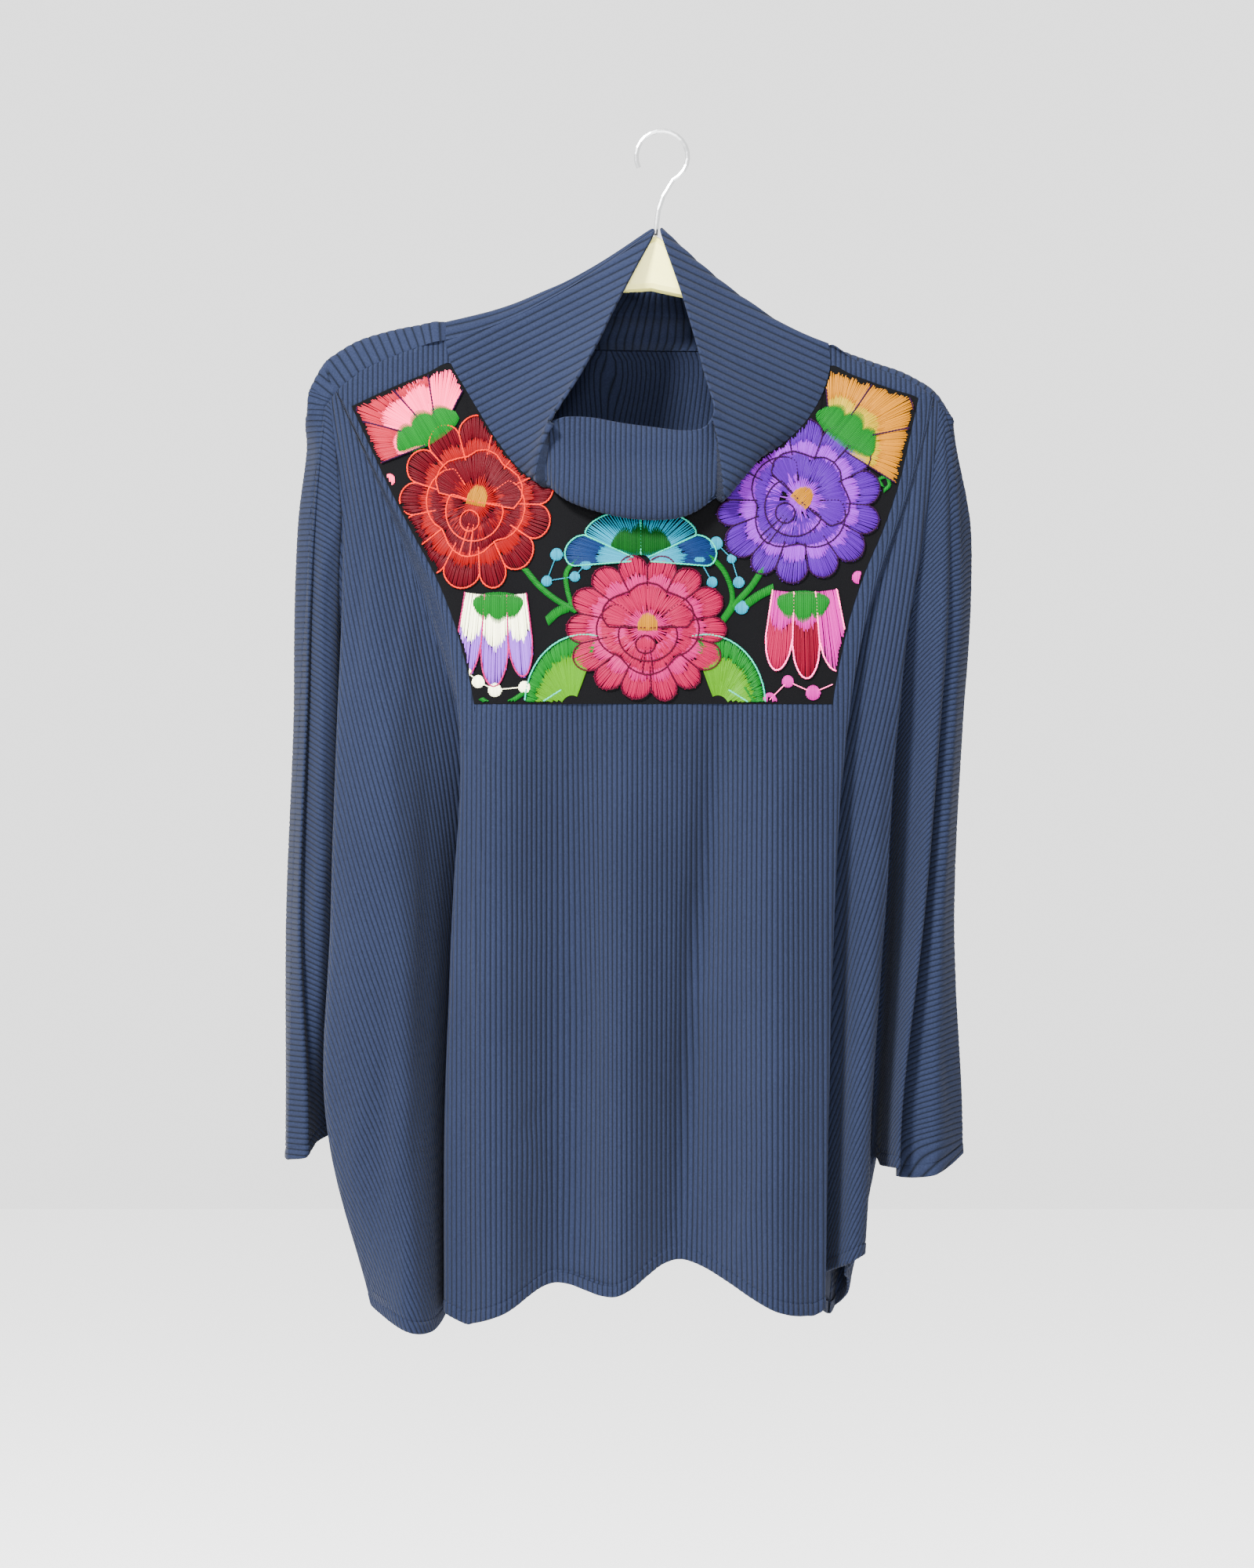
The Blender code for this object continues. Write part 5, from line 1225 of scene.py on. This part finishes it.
for colour, spots in (
    ("turquoise", ((-77, -309, 4.6), (-56, -316, 4.2), (-64, -325, 3.8), (-84, -328, 4.0), (37, -301, 4.8),
                   (25, -313, 4.4), (34, -329, 4.0), (48, -312, 3.4), (53, -329, 4.2), (55, -347, 5.0))),
    ("pale pink", ((-198, -254, 4.4),)),
    ("white", ((-141, -393, 3.4), (-133, -400, 4.6), (-121, -406, 5.0), (-100, -404, 4.4))),
    ("magenta", ((88, -400, 4.4), (106, -408, 5.4), (75, -413, 5.0), (139, -325, 4.6))),
):
    for x, z, radius in spots:
        dots.dot(x, z, radius, colour)
for colour, route in (
    ("turquoise", ((-77, -309), (-84, -328), (-64, -325), (-56, -316))),
    ("turquoise", ((34, -329), (25, -313), (37, -301), (48, -312), (53, -329))),
    ("white", ((-141, -393), (-133, -400), (-121, -406), (-100, -404))),
    ("blush", ((75, -413), (88, -400), (106, -408), (120, -402))),
):
    dots.cord(route, colour, 0.0, 0.8, 2.0)
dots.finish("dots", "turquoise", False)

# Collar: one wide strip of the rib knit, folded double, sewn in as a funnel. It stands up round the hanger's
# neck, and its front falls forward in a soft cowl between two side flaps.

# The collar's rim: place along the neckline (0 to 1 is the front, 1 to 2 the back), rim point, and how far
# the strip stands out, droops over its seam and sags midway there
Station = namedtuple("Station", "at rim belly droop sag")
COLLAR = [
    Station(0.00, (-14, -9, -79), 2, 2, 9),
    Station(0.05, (-20, -17, -96), 3, 2, 8),
    Station(0.16, (-36, -32, -130), 5, 0, 4),
    Station(0.26, (-53, -45, -166), 7, 0, 0),
    Station(0.34, (-80, -62, -217), 7, 2, 0),
    Station(0.40, (-67, -55, -211), 14, 14, 0),
    Station(0.48, (-38, -49, -215), 18, 24, 0),
    Station(0.56, (-6, -48, -219), 19, 25, 0),
    Station(0.63, (20, -50, -221), 15, 16, 0),
    Station(0.70, (35, -57, -213), 12, 4, 0),
    Station(0.79, (28, -49, -174), 7, 0, 0),
    Station(0.90, (17, -34, -132), 5, 0, 4),
    Station(0.97, (8, -16, -96), 4, 1, 8),
    Station(1.00, (5, -9, -80), 3, 2, 9),
    Station(1.06, (2, 0, -74), 0, 0, 10),
    Station(1.12, (8, 11, -86), 2, 0, 6),
    Station(1.24, (24, 28, -98), 3, 0, 0),
    Station(1.38, (22, 42, -100), 6, 0, 0),
    Station(1.50, (-6, 47, -98), 7, 0, 0),
    Station(1.62, (-30, 42, -99), 6, 0, 0),
    Station(1.76, (-34, 28, -98), 3, 0, 0),
    Station(1.88, (-22, 11, -86), 2, 0, 6),
    Station(1.94, (-14, 0, -74), 0, 0, 10),
    Station(2.00, (-14, -9, -79), 2, 2, 9),
]
COLLAR_ROWS = 8
COLLAR_CENTRE = np.array([-16.0, 0.0])
# The doubled rib is stretched round the neck; its mesh steps are in millimetres, up the strip and round it
COLLAR_PITCH = 5.4
COLLAR_OUT = 1.3
COLLAR_STEPS = (3.6, 1.5)
# Where the side flaps fold over the cowl, along the neckline; the right crease comes in at its foot.
# The ribs lean on each flap, in degrees
COWL = (0.345, 0.695)
CREASE_FOOT = 0.62
FLAP_LEAN = (26, -23)


def collar_grid(ring, front_count):
    """The collar from the neckline's points up to its rim."""
    count = len(ring)
    at = np.concatenate([
        np.linspace(0, 1, front_count),
        1 + np.linspace(0, 1, count - front_count + 2)[1:-1],
    ])
    keys = [station.at for station in COLLAR]
    rims = hermite(keys, [station.rim for station in COLLAR], at)
    shape = hermite(keys, [(station.belly, station.droop, station.sag) for station in COLLAR], at)
    rows = np.zeros((COLLAR_ROWS + 1, count, 3))
    for column in range(count):
        seam = ring[column]
        rim = rims[column]
        outward = seam[:2] - COLLAR_CENTRE
        outward = outward / np.linalg.norm(outward)
        for row in range(COLLAR_ROWS + 1):
            t = row / COLLAR_ROWS
            point = seam * (1 - t) + rim * t
            swell = math.sin(math.pi * t ** 0.6)
            point[:2] += outward * shape[column, 0] * swell
            point[2] -= shape[column, 1] * math.sin(math.pi * t ** 0.66) * (1 - t) * 1.2
            point[2] -= shape[column, 2] * math.sin(math.pi * t)
            rows[row, column] = point
    return rows


# The neckline all round: the front from left to right, then the back from right to left
neck_ring = [
    front_grid[0, neck_first], *front_grid[BAND_ROW, neck_first : neck_last + 1], front_grid[0, neck_last],
]
neck_front_points = len(neck_ring)
neck_ring += [back_grid[row, neck_last] for row in range(1, BEHIND_ROW + 1)]
neck_ring += list(back_grid[BEHIND_ROW, neck_first:neck_last][::-1])
neck_ring += [back_grid[row, neck_first] for row in range(BEHIND_ROW - 1, 0, -1)]
collar = collar_grid(np.array(neck_ring), neck_front_points)
around = np.concatenate([collar, collar[:, :1]], axis=1)
reach = line_length(around[COLLAR_ROWS // 2])
collar_ribs = np.repeat((reach * RIB_PITCH / COLLAR_PITCH)[None, :], len(around), axis=0)
whole = round(collar_ribs[0, -1] / RIB_PITCH)
collar_ribs *= whole * RIB_PITCH / collar_ribs[0, -1]
collar_at = np.concatenate([
    np.linspace(0, 1, neck_front_points), 1 + np.linspace(0, 1, len(neck_ring) - neck_front_points + 2)[1:],
])
collar_at = np.repeat(collar_at[None, :], len(around), axis=0)
collar_data = np.concatenate([around, np.stack([collar_ribs, collar_at], axis=2)], axis=2)
once = np.array([0, 0, 0, collar_ribs[0, -1], 2.0])
wrapped = np.concatenate([collar_data[:, -3:-1] - once, collar_data, collar_data[:, 1:3] + once], axis=1)
collar_rows = places_for(around, 0, 0, COLLAR_ROWS, COLLAR_STEPS[0])
collar_columns = places_for(wrapped[:, :, :3], 1, 2, wrapped.shape[1] - 3, COLLAR_STEPS[1])
collar_fine = finer(wrapped, collar_rows, collar_columns)
collar_place = collar_fine[:, :, 4]
collar_share = (collar_rows / COLLAR_ROWS)[:, None]
collar_middle = collar_fine[:, :, :3]
cowl_right = CREASE_FOOT + (COWL[1] - CREASE_FOOT) * collar_share**2.2
in_cowl = (collar_place > COWL[0]) & (collar_place < cowl_right)
collar_rib = collar_fine[:, :, 3].copy()
right_flap = (collar_place >= cowl_right) & (collar_place < 1.03)
for flap, lean in zip((collar_place <= COWL[0], right_flap), np.radians(FLAP_LEAN)):
    slanted = collar_middle[:, :, 2] * math.cos(lean) - collar_middle[:, :, 0] * math.sin(lean)
    collar_rib[flap] = slanted[flap] * RIB_PITCH / COLLAR_PITCH
collar_rib[in_cowl] = collar_middle[:, :, 0][in_cowl]
collar_normals = surface_normals(collar_middle, True)
collar_out = COLLAR_OUT - RIB_DEPTH * 1.3 * (1 - rib_height(collar_rib))
# The flaps stand over the cowl at two sharp creases; the cowl is hollow below its rim, and the back is
# creased across
collar_relief = np.zeros(collar_out.shape)
for edge, way in ((COWL[0], 1), (cowl_right, -1)):
    away = (collar_place - edge) * way
    cowl_side = -4.6 * np.exp(-((away / 0.035) ** 2))
    flap_side = 3.2 * np.exp(-((away / 0.04) ** 2))
    collar_relief += np.where(away > 0, cowl_side, flap_side)
collar_relief *= np.clip(collar_share * 5, 0, 1)
for at, up, wide, tall, high in (
    (0.52, 0.66, 0.09, 0.17, -6.0),
    (0.50, 0.25, 0.12, 0.16, 2.0),
    (0.84, 0.5, 0.03, 0.4, -1.5),
    (0.2, 0.5, 0.03, 0.4, 1.2),
    (1.5, 0.5, 0.3, 0.09, 5.0),
    (1.5, 0.24, 0.3, 0.12, -2.0),
    (1.5, 0.8, 0.3, 0.12, -2.5),
):
    collar_relief += high * np.exp(-(((collar_place - at) / wide) ** 2) - ((collar_share - up) / tall) ** 2)
# The two tips of the rim nearly meet before the hanger's neck
for at, shift in ((0.0, 6.0), (2.0, 6.0), (1.0, -6.0)):
    drawn = np.exp(-(((collar_place - at) / 0.045) ** 2)) * collar_share**3
    collar_middle = collar_middle + drawn[:, :, None] * (shift, 0, 5.0)
collar_middle = collar_middle + collar_normals * collar_relief[:, :, None]
outer_layer = collar_middle + collar_normals * collar_out[:, :, None]
inner_layer = (collar_middle - collar_normals * collar_out[:, :, None])[::-1]
rise = collar_middle[-1] - collar_middle[-2]
rise = rise / np.linalg.norm(rise, axis=1, keepdims=True)
rolls = [
    collar_middle[-1] + (collar_normals[-1] * math.cos(turn) + rise * math.sin(turn)) * COLLAR_OUT
    for turn in (0.5, 1.1, 1.57, 2.04, 2.64)
]
collar_points = np.concatenate([outer_layer, np.array(rolls), inner_layer])
collar_rib = np.concatenate([collar_rib, np.repeat(collar_rib[-1:], len(rolls), axis=0), collar_rib[::-1]])
collar_cells = np.ones((len(collar_points) - 1, collar_points.shape[1] - 1), bool)
collar_piece = grid_mesh(
    "collar_funnel", collar_points[:, ::-1], collar_cells, {"rib": collar_rib[:, ::-1]}, navy_knit
)
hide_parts("collar")

low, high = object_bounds()
